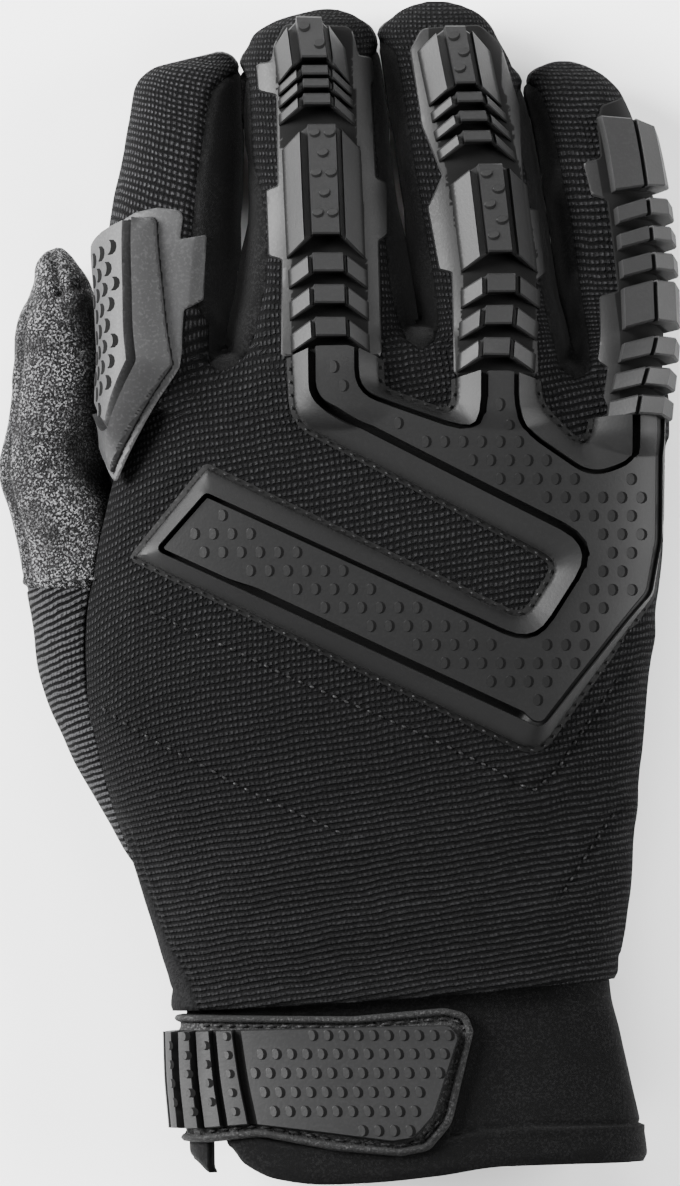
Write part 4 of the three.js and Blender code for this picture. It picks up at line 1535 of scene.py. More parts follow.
def bar(low, high, x_low, x_high, columns, drop, straight, place, shear=0.0):
    """A raised body from its heights across, with bevelled ends that slant back past its straight part.

    shear slants its upper end down towards the right.
    """
    half = max(abs(a) for a, _ in columns)
    edge = BEVEL / (high - low)
    inner = np.linspace(0, 1, max(1, round((high - low) / 2)) + 1)[1:-1]
    shares = [0.0, edge, *inner, 1 - edge, 1.0]
    across, heights = (np.array(v) for v in zip(*columns))
    t, a = (v.ravel() for v in np.meshgrid(shares, across, indexing="ij"))
    h = np.tile(heights, len(shares)) - np.where((t == 0) | (t == 1), BEVEL, 0)
    slant = drop * np.maximum(np.abs(a) - straight, 0) / (half - straight)
    x, y = x_low + t * (x_high - x_low) + a, low + t * (high - low - shear * (a + half)) - slant
    n = len(columns)
    j, i = (v.ravel() for v in np.meshgrid(np.arange(len(shares) - 1), np.arange(n - 1), indexing="ij"))
    k = j * n + i
    faces = np.concatenate([np.stack([k, k + 1, k + n + 1], 1), np.stack([k, k + n + 1, k + n], 1)])
    return closed(laid(place, x, y, h), laid(place, x, y, np.full_like(h, 0.3)), faces)


def flange_height(outline):
    """Height of a flat sewn edge, thinner at its rim."""
    return lambda x, y: FLANGE * np.clip(0.4 + inside(outline, x, y) / 0.5, 0.4, 1)


FLANGE_RIM = 0.35  # how wide the thinner rim of a flange is
PAIRED_PITCH, SINGLE_PITCH = 4.15, 3.2  # from row to row of a block's dimples: wide blocks, narrow ones


def rail(name, node, flange, segments, looks):
    """The guard along the top of a finger: a flange, ribs and blocks, with dimples on the blocks."""
    outline = rounded(flange, steps=4)
    order = np.argsort(segments["y0"])
    along, middles = segments["y0"][order], segments["x0"][order]
    beside = lambda x, y: np.abs(x - np.interp(y, along, middles)) - 7.6
    # Painted shade: the flange and the blocks' low feet between them are painted dark by their height; the
    # flange past their sides gets a lighter fixed value.
    lift = lambda x, y, h: np.where(beside(x, y) > 0, 1.95, h)
    lines = levels(within(outline), FLANGE_RIM) + [beside]
    parts = [moulding(outline, 0.0, 0.8, lines, flange_height(outline), lifted, lift=lift)]
    scales = []
    for values in zip(*segments.values()):
        row = dict(zip(segments, values))
        parts.append(segment(row, lifted))
        if row["dimples"]:
            paired = row["flat"] > 2.5
            pitch = PAIRED_PITCH if paired else SINGLE_PITCH
            for k, y in enumerate(np.arange(row["y1"] - 2.4, row["y0"] + 1.6, -pitch)):
                t = (y - row["y0"]) / (row["y1"] - row["y0"])
                middle = row["x0"] + t * (row["x1"] - row["x0"])
                aside = row["flat"] - 1.15
                if paired:
                    scales += [(middle, y)] if k % 2 else [(middle - aside, y), (middle + aside, y)]
                else:
                    scales.append((middle + (aside if k % 2 else -aside), y))
    top = lambda x, y: np.full_like(x, BLOCK_TOP)
    parts.append(crescents(scales, top, lifted, 1.0, 0.16, turn=-75, foot=0.55))
    add_guard(name, node, parts, looks["rail_rubber"])


# Guards on the sides of the little and index fingers, measured round the finger


def on_finger(tube):
    """Places a point by its arc length to the right of the finger's top."""
    pitch = 2.0
    grid_y = np.arange(tube.rows["y"][0], tube.rows["y"][-1] - 1, pitch)
    tables = [tube.arc(y, 2.0) for y in grid_y]
    angles = tables[0][0]
    lengths = np.array([length for _, length in tables])

    def place(s, y, height):
        row = np.clip((y - grid_y[0]) / pitch, 0, len(grid_y) - 1.001)
        k = row.astype(int)
        share = row - k
        low = np.array([np.interp(-v, -lengths[i], angles) for v, i in zip(s, k)])
        high = np.array([np.interp(-v, -lengths[i + 1], angles) for v, i in zip(s, k)])
        return tube.point(y, low * (1 - share) + high * share, height)[0]

    return place


LITTLE_FLANGE = (
    (5.0, 101.4, 2),
    (2.4, 97.6, 1),
    (1.4, 90.4, 0.4),
    (-2.8, 89.4, 0.6),
    (-2.2, 82.6, 0.6),
    (1.2, 81.6, 0.4),
    (1.2, 62.6, 0.4),
    (-3.2, 61.6, 0.6),
    (-5.4, 48.0, 0.6),
    (-2.6, 46.6, 0.4),
    (-4.2, 37.2, 0.3),
    (13.4, 37.2, 0.3),
    (16.5, 50, 2),
    (18.5, 62, 2),
    (18.5, 90, 2),
    (14.5, 103.6, 2),
)
# Ribs across the little finger's guard: both ends along the finger
LITTLE_RIBS = (
    (36.6, 40.6),
    (42.6, 46.4),
    (48.8, 52.6),
    (55.6, 64),
    (66.2, 69.8),
    (72.2, 75.2),
    (77.4, 80.8),
)
LITTLE_BLOCK = (83.2, 99.2)
# Their profile across the finger: place round it, and height
LITTLE_COLUMNS = (
    (0.8, 1.6),
    (1.4, 3.2),
    (6.2, 5.2),
    (6.3, 3.6),
    (6.8, 3.6),
    (6.9, 5.6),
    (10.6, 5.9),
    (14.4, 4.6),
    (16.2, 1.3),
)
# How far the ribs lie round the finger
LITTLE_SHIFT = table("y s", (38, -3.3), (45, -2.1), (51.4, -0.3), (64, 1.0), (80, 1.5), (99, 1.8))
LITTLE_MIDDLE = 8.0  # where its ribs are straight across
LITTLE_SIDE = 0.7  # place round the finger past which its flange is painted in shade, beside the ribs
INDEX_FLANGE = (
    (1.6, 79.4, 2.5),
    (-4.4, 80, 3),
    (-10, 79, 2),
    (-22.6, 73.4, 1),
    (-22.6, 30, 1),
    (-14.8, 23.2, 0.6),
    (-13.4, 23.4, 0.6),
    (3.2, 46.6, 1),
    (3.8, 50, 2),
    (3.8, 58.6, 0.4),
    (8.6, 60.8, 0.6),
    (7.8, 74.4, 0.6),
    (1.6, 73.4, 0.4),
)
INDEX_OUTLINE = (
    (-4.2, 77.8, 1.6),
    (-9, 77.6, 2),
    (-22, 72.4, 0.5),
    (-22, 30, 0.5),
    (-14.4, 24.8, 0.5),
    (1.6, 47.2, 0.4),
)
INDEX_CENTRE = (
    (-10.8, 80, 0.2),
    (-7.6, 47.8, 0.2),
    (-13.4, 35.6, 0.2),
    (-24, 41, 0.3),
    (-24, 76, 0.3),
)
INDEX_CHANNEL = 2.2
INDEX_RAISED = 0.3  # how much higher this guard stands than the knuckle guard
INDEX_EDGE, INDEX_WALL = 0.45, 0.75  # widths of the painted dark line outside its rim, a painted shade that stands for a groove, and of the rim's steep foot
# Its dimples: one of them, and the steps to its neighbours in two directions
DIMPLE_START, DIMPLE_STEPS = (-16, 70), ((2.17, -3.19), (2.99, 1.1))


def build_little_guard(looks):
    place = on_finger(little)
    outline = rounded(LITTLE_FLANGE, steps=4)
    lines = levels(within(outline), FLANGE_RIM) + [lambda x, y: x - LITTLE_SIDE]
    # The flange is painted in shade by its low height beside the ribs, and lighter nearer the finger's top.
    lift = lambda x, y, h: np.where(x < LITTLE_SIDE, 1.9, h)
    parts = [moulding(outline, 0.0, 0.8, lines, flange_height(outline), place, lift=lift)]
    columns = [(a - LITTLE_MIDDLE, h) for a, h in LITTLE_COLUMNS]
    for low, high in LITTLE_RIBS + (LITTLE_BLOCK,):
        ends = LITTLE_MIDDLE + np.interp((low, high), LITTLE_SHIFT["y"], LITTLE_SHIFT["s"])
        drop, shear = (0.4, 0.34) if (low, high) == LITTLE_BLOCK else (1.6, 0.0)
        parts.append(bar(low, high, *ends, columns, drop, 2.0, place, shear))
    add_guard("little_rubber", "little_guard", parts, looks["rail_rubber"])


def build_index_guard(looks):
    place = on_finger(index_root)
    flange, outline, centre = rounded(INDEX_FLANGE), rounded(INDEX_OUTLINE), rounded(INDEX_CENTRE)
    low = lambda x, y: 1 - 0.45 * ramp(-x, 9, 20) * (1 - ramp(y, 45, 74))
    rise = INDEX_CHANNEL - STEP

    def height(x, y):
        a, c = inside(outline, x, y), inside(centre, x, y)
        foot = FLANGE + 5 * np.maximum(a - SNAP, 0)
        raised = np.minimum(rim_height(a, c, INDEX_CHANNEL, rise=rise) + INDEX_RAISED, foot)
        return np.where(a < 0, flange_height(flange)(x, y), raised * low(x, y))

    # Painted light and shade on the guard: the plate unshaded, the channel and the rim painted darker, the
    # rim darker still low down, a painted dark line just outside the rim, and the sewn edge light, painted
    # darker towards its tab's right side.
    def lift(x, y, h):
        a, c = inside(outline, x, y), inside(centre, x, y)
        rim = 2.25 - 0.25 * (1 - ramp(y, 44, 50))
        tone = np.where(c > -SNAP, UNSHADED, np.where(c > -INDEX_CHANNEL + SNAP, 1.85, rim))
        outside = np.where(a > SNAP - INDEX_EDGE, 1.3, UNSHADED - 0.75 * ramp(x, 3.9, 5.2))
        return np.where(a > SNAP, tone, outside)

    lines = guard_lines(outline, centre, within(centre), INDEX_CHANNEL, rise)
    lines += levels(within(outline), -INDEX_EDGE, INDEX_WALL)
    body = moulding(flange, 0.0, 0.5, lines, height, place, lift=lift)
    counts = np.stack([v.ravel() for v in np.meshgrid(np.arange(-20, 20), np.arange(-20, 20))], 1)
    spots = DIMPLE_START + counts @ np.array(DIMPLE_STEPS)
    right = inside(centre, spots[:, 0] + 1.2, spots[:, 1])
    spots = spots[np.minimum(right, inside(outline, *spots.T)) > 0.9]
    top = lambda x, y: (FLOOR + INDEX_RAISED) * low(x, y)
    scales = crescents(spots, top, place, 1.35, 0.25, foot=1.2, tilt=0.7, tone=UNSHADED)
    add_guard("index_rubber", "index_guard", [body, scales], looks["lit_side_rubber"])


# The index finger's tube carried back over the hand, for the part of its guard that lies there
INDEX_ROOT = table(
    FINGER,
    (18, -35, 14.6, 6.4, 35.8),
    (30, -35.6, 13.8, 7, 35),
    (42, -36.2, 13, 7.4, 34),
    (52, -36.2, 12.4, 7, 32.5),
    (63, -35.5, 12.8, 5.5, 30.6),
    (73.4, -34.7, 13.6, 4, 28.4),
    (81.3, -33.6, 13.1, 2.6, 26.4),
    (90.1, -32.6, 12.2, 0.6, 24.2),
)
index_root = Tube(INDEX_ROOT, FINGER_POWER)


# Stitches


def offset(outline, distance):
    """An outline moved outwards, or inwards where the distance is negative."""
    way = unit(np.roll(outline, -1, 0) - np.roll(outline, 1, 0))
    side = np.stack([way[:, 1], -way[:, 0]], 1)
    return outline - side * np.sign(inside(outline, *(outline + side * 0.05).T))[:, None] * distance


def stitch_run(line, length, gap, place, height=0.25, thick=0.42, allowed=None):
    """Short rounded threads along a line of places, where these are allowed."""
    line = np.array(line, float)
    reach = np.concatenate([[0], np.cumsum(np.hypot(*np.diff(line, axis=0).T))])
    parts = []
    for start in np.arange(gap, reach[-1] - length, length + gap):
        at = np.linspace(start, start + length, 5)
        x, y = np.interp(at, reach, line[:, 0]), np.interp(at, reach, line[:, 1])
        if allowed and allowed(x, y).min() < 0:
            continue
        rise = height * np.sin(np.linspace(0.15, math.pi - 0.15, 5))
        centre = place(x, y, rise)
        size = thick / 2 * np.array([0.25, 0.9, 1, 0.9, 0.25])
        along = unit(np.gradient(centre, axis=0))
        side = unit(np.cross(along, [0, 0, 1.0]))
        up = np.cross(side, along)
        ring = np.radians(np.arange(0, 360, 60))
        circle = np.cos(ring)[None, :, None] * side[:, None] + np.sin(ring)[None, :, None] * up[:, None]
        points = (centre[:, None] + circle * size[:, None, None]).reshape(-1, 3)
        j, i = (v.ravel() for v in np.meshgrid(np.arange(4), np.arange(6), indexing="ij"))
        a, b = j * 6 + i, j * 6 + (i + 1) % 6
        faces = np.concatenate([np.stack([a, b, b + 6], 1), np.stack([a, b + 6, a + 6], 1)])
        cap = [[24, 25, 26], [24, 26, 27], [24, 27, 28], [24, 28, 29]]
        ends = np.array(cap + [[5 - v % 6 for v in t] for t in cap])
        parts.append((points, np.concatenate([faces, ends])))
    return joined(parts)


def on_cloth(x, y, height):
    """A point above the cloth, in its grooves and on its folds."""
    dent = cloth_relief(np.stack([x, y, body_top(x, y)], 1))
    return lifted(x, y, dent + height, lean=0.0, over=body_top)


THUMB_STITCHES = ((-62.6, 2.6), (-57, 2.8), (-52, 2.9), (-49, 3))
STRAP_STITCHES = 2.25  # how far they lie inside the strap's edge


def build_stitches(looks, band):
    runs = [stitch_run(line, 1.1, 1.5, on_cloth, height=0.45, thick=0.55) for line in QUILT_LINES]
    on_edge = lambda x, y, height: lifted(x, y, FLANGE + height)
    clear = lambda x, y: np.minimum(lobe_end(x, y) - 1, curve(y, HAND["y"], HAND["right"]) - 2 - x)
    around_guard = offset(knuckle_outline(), 0.7)
    runs.append(stitch_run(around_guard, 0.8, 1.9, on_edge, height=0.2, thick=0.45, allowed=clear))
    points, faces = joined(runs)
    add_piece("back_stitches", points, faces, looks["thread"], "knit")

    def on_thumb(x, y, height):
        z = thumb.top(x, y)
        return np.stack([x, y, z + 1.25 + height], 1)

    points, faces = stitch_run(THUMB_STITCHES, 1.5, 0.9, on_thumb, thick=0.6)
    add_piece("thumb_stitches", points, faces, looks["pale_thread"], "thumb_leather")
    way = unit(np.roll(band, -1, 0) - np.roll(band, 1, 0))
    inward = np.stack([-way[:, 1], way[:, 0]], 1)
    side = np.sign(inside(band, *(band + inward * 0.5).T))[:, None]
    inner = band + inward * side * STRAP_STITCHES
    deep = inside(band, *inner.T) > STRAP_STITCHES - 0.15
    inner = inner[deep & (inner[:, 0] > STRAP_END + 4)]
    above = lambda x, y, height: on_cuff(x, y, BAND_DITCH + 0.05 + height)
    parts = []
    for line in (inner[inner[:, 1] > STRAP_AT], inner[inner[:, 1] <= STRAP_AT]):
        line = line[np.argsort(line[:, 0])]
        parts.append(stitch_run(line, 2.0, 1.1, above, height=0.4, thick=0.6))
    points, faces = joined(parts)
    add_piece("strap_stitches", points, faces, looks["thread"], "webbing")


# Materials


class Tree:
    """Adds nodes to a material or a group, each with its inputs."""

    def __init__(self, tree):
        self.tree = tree

    def add(self, kind, inputs=(), **settings):
        node = self.tree.nodes.new(kind)
        node.location = (180 * len(self.tree.nodes), 0)
        for name, value in settings.items():
            setattr(node, name, value)
        for key, value in dict(inputs).items():
            if isinstance(value, bpy.types.NodeSocket):
                self.tree.links.new(value, node.inputs[key])
            else:
                node.inputs[key].default_value = value
        return node

    def math(self, operation, a, b=0.0, c=0.0):
        return self.add("ShaderNodeMath", {0: a, 1: b, 2: c}, operation=operation).outputs[0]

    def product(self, first, *others):
        for value in others:
            first = self.math("MULTIPLY", first, value)
        return first

    def attribute(self, name, output="Fac"):
        return self.add("ShaderNodeAttribute", attribute_name=name).outputs[output]

    def place(self):
        """Coordinates in metres, fixed to the glove."""
        return self.add("ShaderNodeTexCoord").outputs["Object"]

    def mix(self, factor, a, b):
        node = self.add("ShaderNodeMix", data_type="RGBA")
        for name, value in (("Factor", factor), ("A", a), ("B", b)):
            socket = [s for s in node.inputs if s.name == name and s.enabled][0]
            if isinstance(value, bpy.types.NodeSocket):
                self.tree.links.new(value, socket)
            else:
                socket.default_value = value
        return [s for s in node.outputs if s.enabled][0]

    def ramp(self, value, low, high):
        """0 below low, 1 above high, smooth between."""
        inputs = {"Value": value, "From Min": low, "From Max": high}
        return self.add("ShaderNodeMapRange", inputs, interpolation_type="SMOOTHSTEP").outputs[0]

    def noise(self, scale, detail=3.0, rough=0.55, vector=None):
        inputs = {"Scale": scale, "Detail": detail, "Roughness": rough}
        if vector is not None:
            inputs["Vector"] = vector
        return self.add("ShaderNodeTexNoise", inputs).outputs["Fac"]


def make_group(name, fill, **inputs):
    """A node group with number sockets, which gives a height for the bump and a shade."""
    group = bpy.data.node_groups.new(name, "ShaderNodeTree")
    for label, default in inputs.items():
        label = label.replace("_", " ")
        socket = group.interface.new_socket(label, in_out="INPUT", socket_type="NodeSocketFloat")
        socket.default_value = default
    outputs = ("Height", "Shade")
    for label in outputs:
        group.interface.new_socket(label, in_out="OUTPUT", socket_type="NodeSocketFloat")
    tree = Tree(group)
    results = fill(tree, tree.add("NodeGroupInput").outputs)
    sink = tree.add("NodeGroupOutput")
    for label, value in zip(outputs, results):
        group.links.new(value, sink.inputs[label])
    return group


def fill_weave(tree, source):
    """A ribbed knit: bars across, parted into stitches, each a little uneven, with painted shade in the gaps
    between them.
    """
    parts = tree.add("ShaderNodeSeparateXYZ", {0: tree.attribute("weave", "Vector")}).outputs
    place = tree.place()
    drift = tree.math("SUBTRACT", tree.noise(90.0, 2.0, vector=place), 0.5)
    wobble = tree.math("SUBTRACT", tree.noise(420.0, 1.0, vector=place), 0.5)
    shift = tree.math("ADD", tree.product(drift, 1.6), tree.product(wobble, 0.5))
    u = tree.math("ADD", parts[0], shift)
    v = tree.math("ADD", parts[1], tree.product(shift, 0.8))
    waves = []
    for value in (u, v):
        turns = tree.product(tree.math("DIVIDE", value, source["Pitch"]), 2 * math.pi)
        wave = tree.math("MULTIPLY_ADD", tree.math("COSINE", turns), 0.5, 0.5)
        waves.append(tree.ramp(wave, 0.1, 0.8))
    parted = tree.product(parts[2], source["Parting"], tree.math("SUBTRACT", 1.0, waves[0]))
    stitch = tree.math("SUBTRACT", 1.0, parted)
    yarn = tree.ramp(tree.noise(1500.0, 2.0, 0.6, place), 0.35, 0.65)
    knitted = tree.ramp(parts[2], 0.02, 0.15)
    height = tree.product(waves[1], stitch, knitted)
    rough = tree.math("MULTIPLY_ADD", yarn, source["Fuzz"], height)
    plain = tree.product(tree.math("SUBTRACT", 1.0, knitted), 0.35)
    # Painted shade darkens the gaps between stitches, and the lift attribute paints light and shade over
    # whole stretches of the knit.
    shade = tree.product(tree.math("ADD", height, plain), tree.math("MULTIPLY_ADD", yarn, 0.8, 0.4))
    return rough, tree.product(shade, tree.attribute("lift"))


def fill_grain(tree, source):
    """Leather: small raised cells, painted shade in the creases between, finer grit, and flecks that paint
    glints.
    """
    place = tree.place()
    inputs = {"Vector": place, "Scale": source["Scale"]}
    cells = tree.add("ShaderNodeTexVoronoi", inputs, feature="DISTANCE_TO_EDGE").outputs["Distance"]
    raised = tree.math("MINIMUM", tree.product(cells, 4.0), 1.0)
    grit = tree.noise(2200.0, 3.0, 0.7, place)
    height = tree.math("MULTIPLY_ADD", grit, source["Grit"], tree.product(raised, 0.6))
    flecks = tree.ramp(tree.noise(1900.0, 1.0, 0.5, place), 0.48, 0.66)
    mottle = tree.ramp(tree.noise(110.0, 2.0, 0.5, place), 0.36, 0.64)
    # Painted shade along the thumb's seams and creases and on its right side, carried by its lift.
    seams = tree.product(tree.attribute("lift"), source["Seams"])
    clouded = tree.math("MULTIPLY_ADD", mottle, 0.8, 0.25)
    flecks_and_glints = tree.product(flecks, clouded, tree.math("SUBTRACT", 1.0, seams))
    return height, tree.math("MULTIPLY_ADD", raised, 0.12, flecks_and_glints)


def fill_skin(tree, source):
    """Moulded rubber: a satin skin with faint clouding, specks and fine pitting, and painted shade in its low
    places.
    """
    place = tree.place()
    pits = tree.noise(source["Pit Scale"], 2.0, 0.6, place)
    cloud = tree.noise(70.0, 3.0, 0.6, place)
    specks = tree.ramp(tree.noise(1600.0, 1.0, 0.5, place), 0.5, 0.72)
    # Painted shade: low places, by their lift, get a darker colour.
    lit = tree.ramp(tree.attribute("lift"), 1.0, UNSHADED)
    shade = tree.math("MULTIPLY_ADD", specks, source["Dust"], tree.math("MULTIPLY_ADD", cloud, 0.4, 0.6))
    return pits, tree.product(shade, lit)


def principled(name, base, rough, specular, sheen=0.0):
    """A new material with its fixed values, and its tree and shader."""
    material = bpy.data.materials.new(name)
    material.use_nodes = True
    material.node_tree.nodes.clear()
    tree = Tree(material.node_tree)
    output = tree.add("ShaderNodeOutputMaterial")
    shader = tree.add("ShaderNodeBsdfPrincipled", {"Base Color": base, "Roughness": rough})
    shader.inputs["Specular IOR Level"].default_value = specular
    shader.inputs["Sheen Weight"].default_value = sheen
    shader.inputs["Sheen Roughness"].default_value = 0.4
    shader.inputs["Sheen Tint"].default_value = (1, 1, 1, 1)
    material.node_tree.links.new(shader.outputs[0], output.inputs[0])
    return material, tree, shader


def shaded(colour, factor):
    """A colour made lighter or darker, with its alpha."""
    return tuple(c * factor for c in colour[:3]) + (1.0,)


def finish(name, colour, group, values, dark, light, rough, specular, depth, sheen=0.0):
    """A material between a dark and a light multiple of its colour, rougher where it is dark.

    group gives its shade and its bumps, whose depth is in millimetres.
    """
    colour = shaded(colour, 1)
    material, tree, shader = principled(name, colour, rough, specular, sheen)
    pattern = tree.add("ShaderNodeGroup", values, node_tree=group).outputs
    tone = tree.mix(pattern["Shade"], shaded(colour, dark), shaded(colour, light))
    satin = tree.ramp(pattern["Shade"], 0.0, 0.5)
    spread = tree.math("MULTIPLY_ADD", satin, rough - 1.0, 1.0)
    bump = tree.add("ShaderNodeBump", {"Height": pattern["Height"], "Distance": depth * M, "Strength": 1.0})
    for value, socket in ((tone, "Base Color"), (spread, "Roughness"), (bump.outputs[0], "Normal")):
        tree.tree.links.new(value, shader.inputs[socket])
    return material


@lru_cache(None)
def make_looks():
    """Every material of the glove, by a short name."""
    settings = bpy.context.scene.glove
    weave = make_group("knit_weave", fill_weave, Pitch=1.38, Parting=0.85, Fuzz=0.25)
    grain = make_group("leather_grain", fill_grain, Scale=900.0, Grit=0.5, Seams=0.0)
    skin = make_group("rubber_skin", fill_skin, Pit_Scale=1500.0, Dust=0.2)
    knit, hide = settings.knit_colour, settings.leather_colour
    rubber, cloth = settings.rubber_colour, settings.cuff_colour
    ribs = {"Pitch": settings.knit_pitch / M}
    thumb_grain = {"Scale": 1500.0, "Grit": 1.2, "Seams": 1.0}
    dusty, dustier = {"Dust": 0.3}, {"Dust": 0.4}

    def fine(scale, grit):
        return {"Scale": scale, "Grit": grit}

    # Each material's name, colour, pattern with its values, dark and light tone, roughness, specular
    # level, depth of its bumps, and sheen where it has some
    finishes = {
        "knit": ("black_knit", knit, weave, ribs, 0.35, 5.8, 0.8, 0.06, 0.55),
        "leather": ("grained_leather", hide, grain, thumb_grain, 0.05, 17.5, 0.5, 0.2, 0.5),
        "palm": ("palm_hide", hide, grain, fine(1300.0, 0.4), 1.6, 3.6, 0.7, 0.3, 0.2),
        "rubber": ("guard_skin", rubber, skin, dusty, 0.06, 1.0, 0.55, 0.17, 0.03),
        "rail_rubber": ("rail_skin", rubber, skin, dusty, 0.02, 1.45, 0.53, 0.23, 0.03),
        # A lighter copy of the rubber, painted light for the side guard whose plate faces the key light
        "lit_side_rubber": ("side_guard_lit_skin", rubber, skin, dustier, 0.02, 6.6, 0.55, 0.18, 0.04),
        "strap_rubber": ("strap_skin", rubber, skin, dusty, 0.02, 1.9, 0.55, 0.17, 0.03),
        "stretch": ("stretch_cloth", cloth, grain, fine(2400.0, 0.6), 1.2, 2.0, 0.85, 0.1, 0.08, 0.04),
        "neoprene": ("smooth_neoprene", cloth, grain, fine(2800.0, 0.7), 1.1, 1.8, 0.8, 0.07, 0.07, 0.038),
        "webbing": ("strap_cloth", rubber, grain, fine(2000.0, 1.0), 0.5, 1.6, 0.7, 0.3, 0.1),
        "thread": ("sewing_thread", rubber, grain, fine(3000.0, 1.0), 1.2, 3.8, 0.6, 0.2, 0.08),
        "pale_thread": ("pale_thread", rubber, grain, fine(3000.0, 1.0), 8, 20, 0.6, 0.2, 0.08),
    }
    return {short: finish(*values) for short, values in finishes.items()}


# Stage

PIXEL = 0.208  # millimetres that one pixel of the 680 x 1186 image covers at the glove
IMAGE_HIGH = 1186
CAMERA_HEIGHT = 3.0  # metres above the floor
VIEW_PLANE = 0.022  # height of the glove's outline, in metres
SENSOR = 36.0
FLOOR_SIZE = 3.0  # half the floor's side, in metres
LAMP_SIZE = 0.8
# Each lamp's place in metres, and its power as a share of the key light's
LAMPS = {
    "key": ((-1.25, 0.46, 0.55), 1.0),
    "back": ((0.1, 1.2, 1.0), 0.12),
    "right": ((1.3, 0.1, 0.6), 0.32),
    "front": ((-0.2, -1.2, 1.1), 0.1),
}


def build_stage(settings):
    mesh = bpy.data.meshes.new("floor")
    corners = [(x * FLOOR_SIZE, y * FLOOR_SIZE, 0) for x, y in ((-1, -1), (1, -1), (1, 1), (-1, 1))]
    mesh.from_pydata(corners, [], [(0, 1, 2, 3)])
    floor = bpy.data.objects.new("floor", mesh)
    bpy.context.scene.collection.objects.link(floor)
    material, tree, shader = principled("floor_paint", (0.95, 0.95, 0.95, 1), 0.9, 0.1)
    mottle = tree.noise(6.0, 2.0)
    tone = tree.mix(mottle, (0.94, 0.94, 0.94, 1), (0.96, 0.96, 0.96, 1))
    tree.tree.links.new(tone, shader.inputs["Base Color"])
    mesh.materials.append(material)
    floor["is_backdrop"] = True

    data = bpy.data.cameras.new("camera")
    data.sensor_fit = "VERTICAL"
    data.sensor_width = data.sensor_height = SENSOR
    data.lens = SENSOR * (CAMERA_HEIGHT - VIEW_PLANE) / (IMAGE_HIGH * PIXEL * M)
    data.clip_end = 20
    camera = bpy.data.objects.new("camera", data)
    camera.location = (0, 0, CAMERA_HEIGHT)
    bpy.context.scene.collection.objects.link(camera)
    bpy.context.scene.camera = camera

    world = bpy.data.worlds.new("studio")
    world.use_nodes = True
    world.node_tree.nodes["Background"].inputs[0].default_value = (1, 1, 1, 1)
    world.node_tree.nodes["Background"].inputs[1].default_value = settings.fill_light
    bpy.context.scene.world = world
    for name, (place, share) in LAMPS.items():
        data = bpy.data.lights.new(name, "AREA")
        data.energy, data.size = settings.key_light * share, LAMP_SIZE
        lamp = bpy.data.objects.new(name, data)
        lamp.location = place
        way = -lamp.location
        lamp.rotation_euler = way.to_track_quat("-Z", "Y").to_euler()
        bpy.context.scene.collection.objects.link(lamp)


# The add-on's settings, operators and panel


def colour_setting(name, description, default):
    return FloatVectorProperty(name=name, description=description, default=default, subtype="COLOR", size=3)


def length_setting(name, description, default, low):
    return FloatProperty(name=name, description=description, default=default, min=low, unit="LENGTH")


class GloveSettings(bpy.types.PropertyGroup):
    """Sizes and colours of the glove that a user may change."""

    cloth_step: length_setting("Cloth step", "Spacing of the cloth's mesh", 0.0011, 0.0005)
    knit_pitch: length_setting("Knit pitch", "Distance between the knit's ribs", 0.00138, 0.0005)
    knit_colour: colour_setting("Knit", "Colour of the knit", (0.005, 0.005, 0.0052))
    leather_colour: colour_setting("Leather", "Colour of the thumb and palm", (0.0075, 0.0075, 0.0077))
    rubber_colour: colour_setting("Rubber", "Colour of the moulded guards", (0.005, 0.005, 0.0051))
    cuff_colour: colour_setting("Cuff", "Colour of the cuff and finger strips", (0.0015, 0.0015, 0.00155))
    key_light: FloatProperty(
        name="Key light", description="Power of the main light", default=170.0, unit="POWER"
    )
    fill_light: FloatProperty(
        name="Fill light", description="Strength of the surrounding light", default=0.06
    )


class GlovePiece:
    """What every operator of the glove shares: it builds some of its pieces."""

    bl_options = {"REGISTER", "UNDO"}

    def execute(self, context):
        self.build(make_looks())
        return {"FINISHED"}


class GLOVE_OT_cloth(GlovePiece, bpy.types.Operator):
    """Knit back, leather palm and the strips between the fingers"""

    bl_idname = "glove.cloth"
    bl_label = "Back, palm and strips"

    def build(self, looks):
        build_back(looks)
        build_palm(looks)
        build_fourchettes(looks)


class GLOVE_OT_thumb(GlovePiece, bpy.types.Operator):
    """Leather thumb and its knit gusset"""

    bl_idname = "glove.thumb"
    bl_label = "Thumb"

    def build(self, looks):
        build_thumb(looks)


class GLOVE_OT_cuff(GlovePiece, bpy.types.Operator):
    """Neoprene cuff with its hem and slit"""

    bl_idname = "glove.cuff"
    bl_label = "Cuff"

    def build(self, looks):
        build_cuff(looks)


class GLOVE_OT_strap(GlovePiece, bpy.types.Operator):
    """Wrist strap with its moulded plate, and the stitches of the glove"""

    bl_idname = "glove.strap"
    bl_label = "Strap and stitches"

    def build(self, looks):
        build_stitches(looks, build_strap(looks))


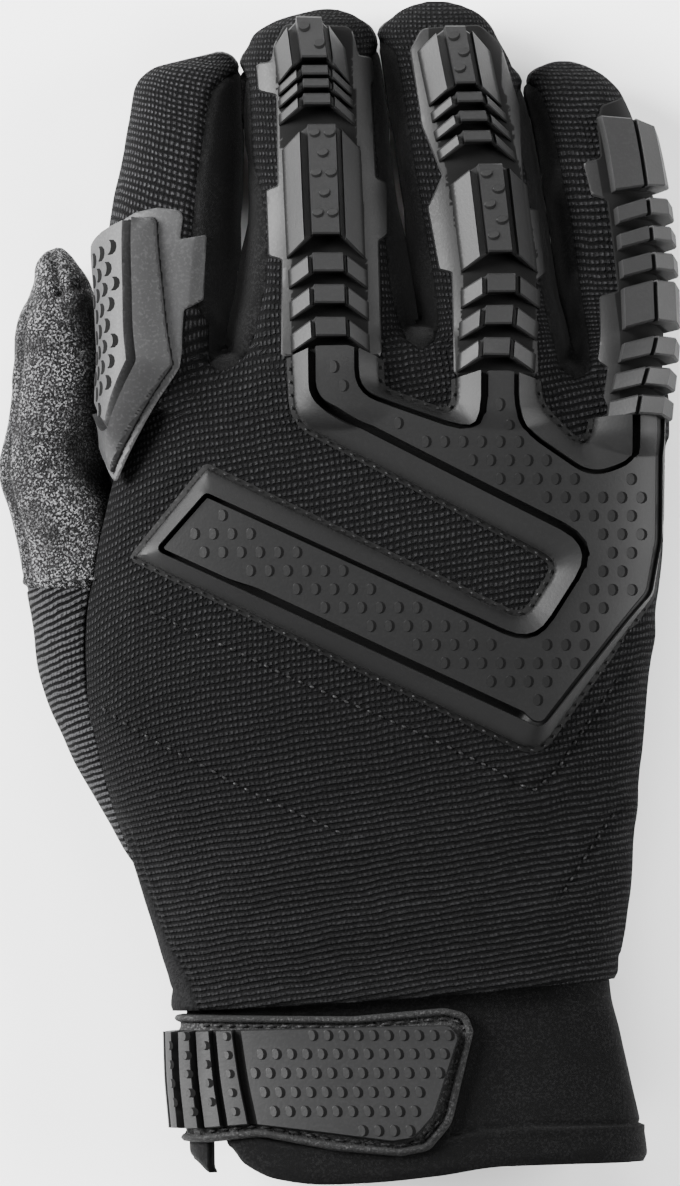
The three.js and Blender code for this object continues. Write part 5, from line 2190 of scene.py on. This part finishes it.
class GLOVE_OT_knuckles(GlovePiece, bpy.types.Operator):
    """Moulded guard over the knuckles and the back of the hand"""

    bl_idname = "glove.knuckles"
    bl_label = "Knuckle guard"

    def build(self, looks):
        build_knuckle_guard(looks)


class GLOVE_OT_fingers(GlovePiece, bpy.types.Operator):
    """Moulded guards of the four fingers"""

    bl_idname = "glove.fingers"
    bl_label = "Finger guards"

    def build(self, looks):
        rail("middle_rubber", "middle_guard", MIDDLE_FLANGE, MIDDLE_SEGMENTS, looks)
        rail("ring_rubber", "ring_guard", RING_FLANGE, RING_SEGMENTS, looks)
        build_little_guard(looks)
        build_index_guard(looks)


class GLOVE_OT_stage(GlovePiece, bpy.types.Operator):
    """Pale floor, soft lights and the camera above the glove"""

    bl_idname = "glove.stage"
    bl_label = "Stage"

    def build(self, looks):
        build_stage(bpy.context.scene.glove)


OPERATORS = (
    GLOVE_OT_stage,
    GLOVE_OT_cloth,
    GLOVE_OT_thumb,
    GLOVE_OT_cuff,
    GLOVE_OT_strap,
    GLOVE_OT_knuckles,
    GLOVE_OT_fingers,
)


class GLOVE_PT_panel(bpy.types.Panel):
    """Lists the glove's settings and pieces."""

    bl_idname = "GLOVE_PT_panel"
    bl_label = "Guarded glove"
    bl_space_type = "VIEW_3D"
    bl_region_type = "UI"
    bl_category = "Glove"

    def draw(self, context):
        for name in GloveSettings.__annotations__:
            self.layout.prop(context.scene.glove, name)
        for operator in OPERATORS:
            self.layout.operator(operator.bl_idname)


CLASSES = (GloveSettings,) + OPERATORS + (GLOVE_PT_panel,)


def register():
    for item in CLASSES:
        bpy.utils.register_class(item)
    bpy.types.Scene.glove = PointerProperty(type=GloveSettings)


def unregister():
    del bpy.types.Scene.glove
    for item in reversed(CLASSES):
        bpy.utils.unregister_class(item)


def main():
    register()
    for operator in OPERATORS:
        group, name = operator.bl_idname.split(".")
        getattr(getattr(bpy.ops, group), name)()
    low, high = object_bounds()
    {"cad": [list(CAD_LOW), list(CAD_HIGH)], "looks": [list(low), list(high)]}


if __name__ == "__main__":
    main()
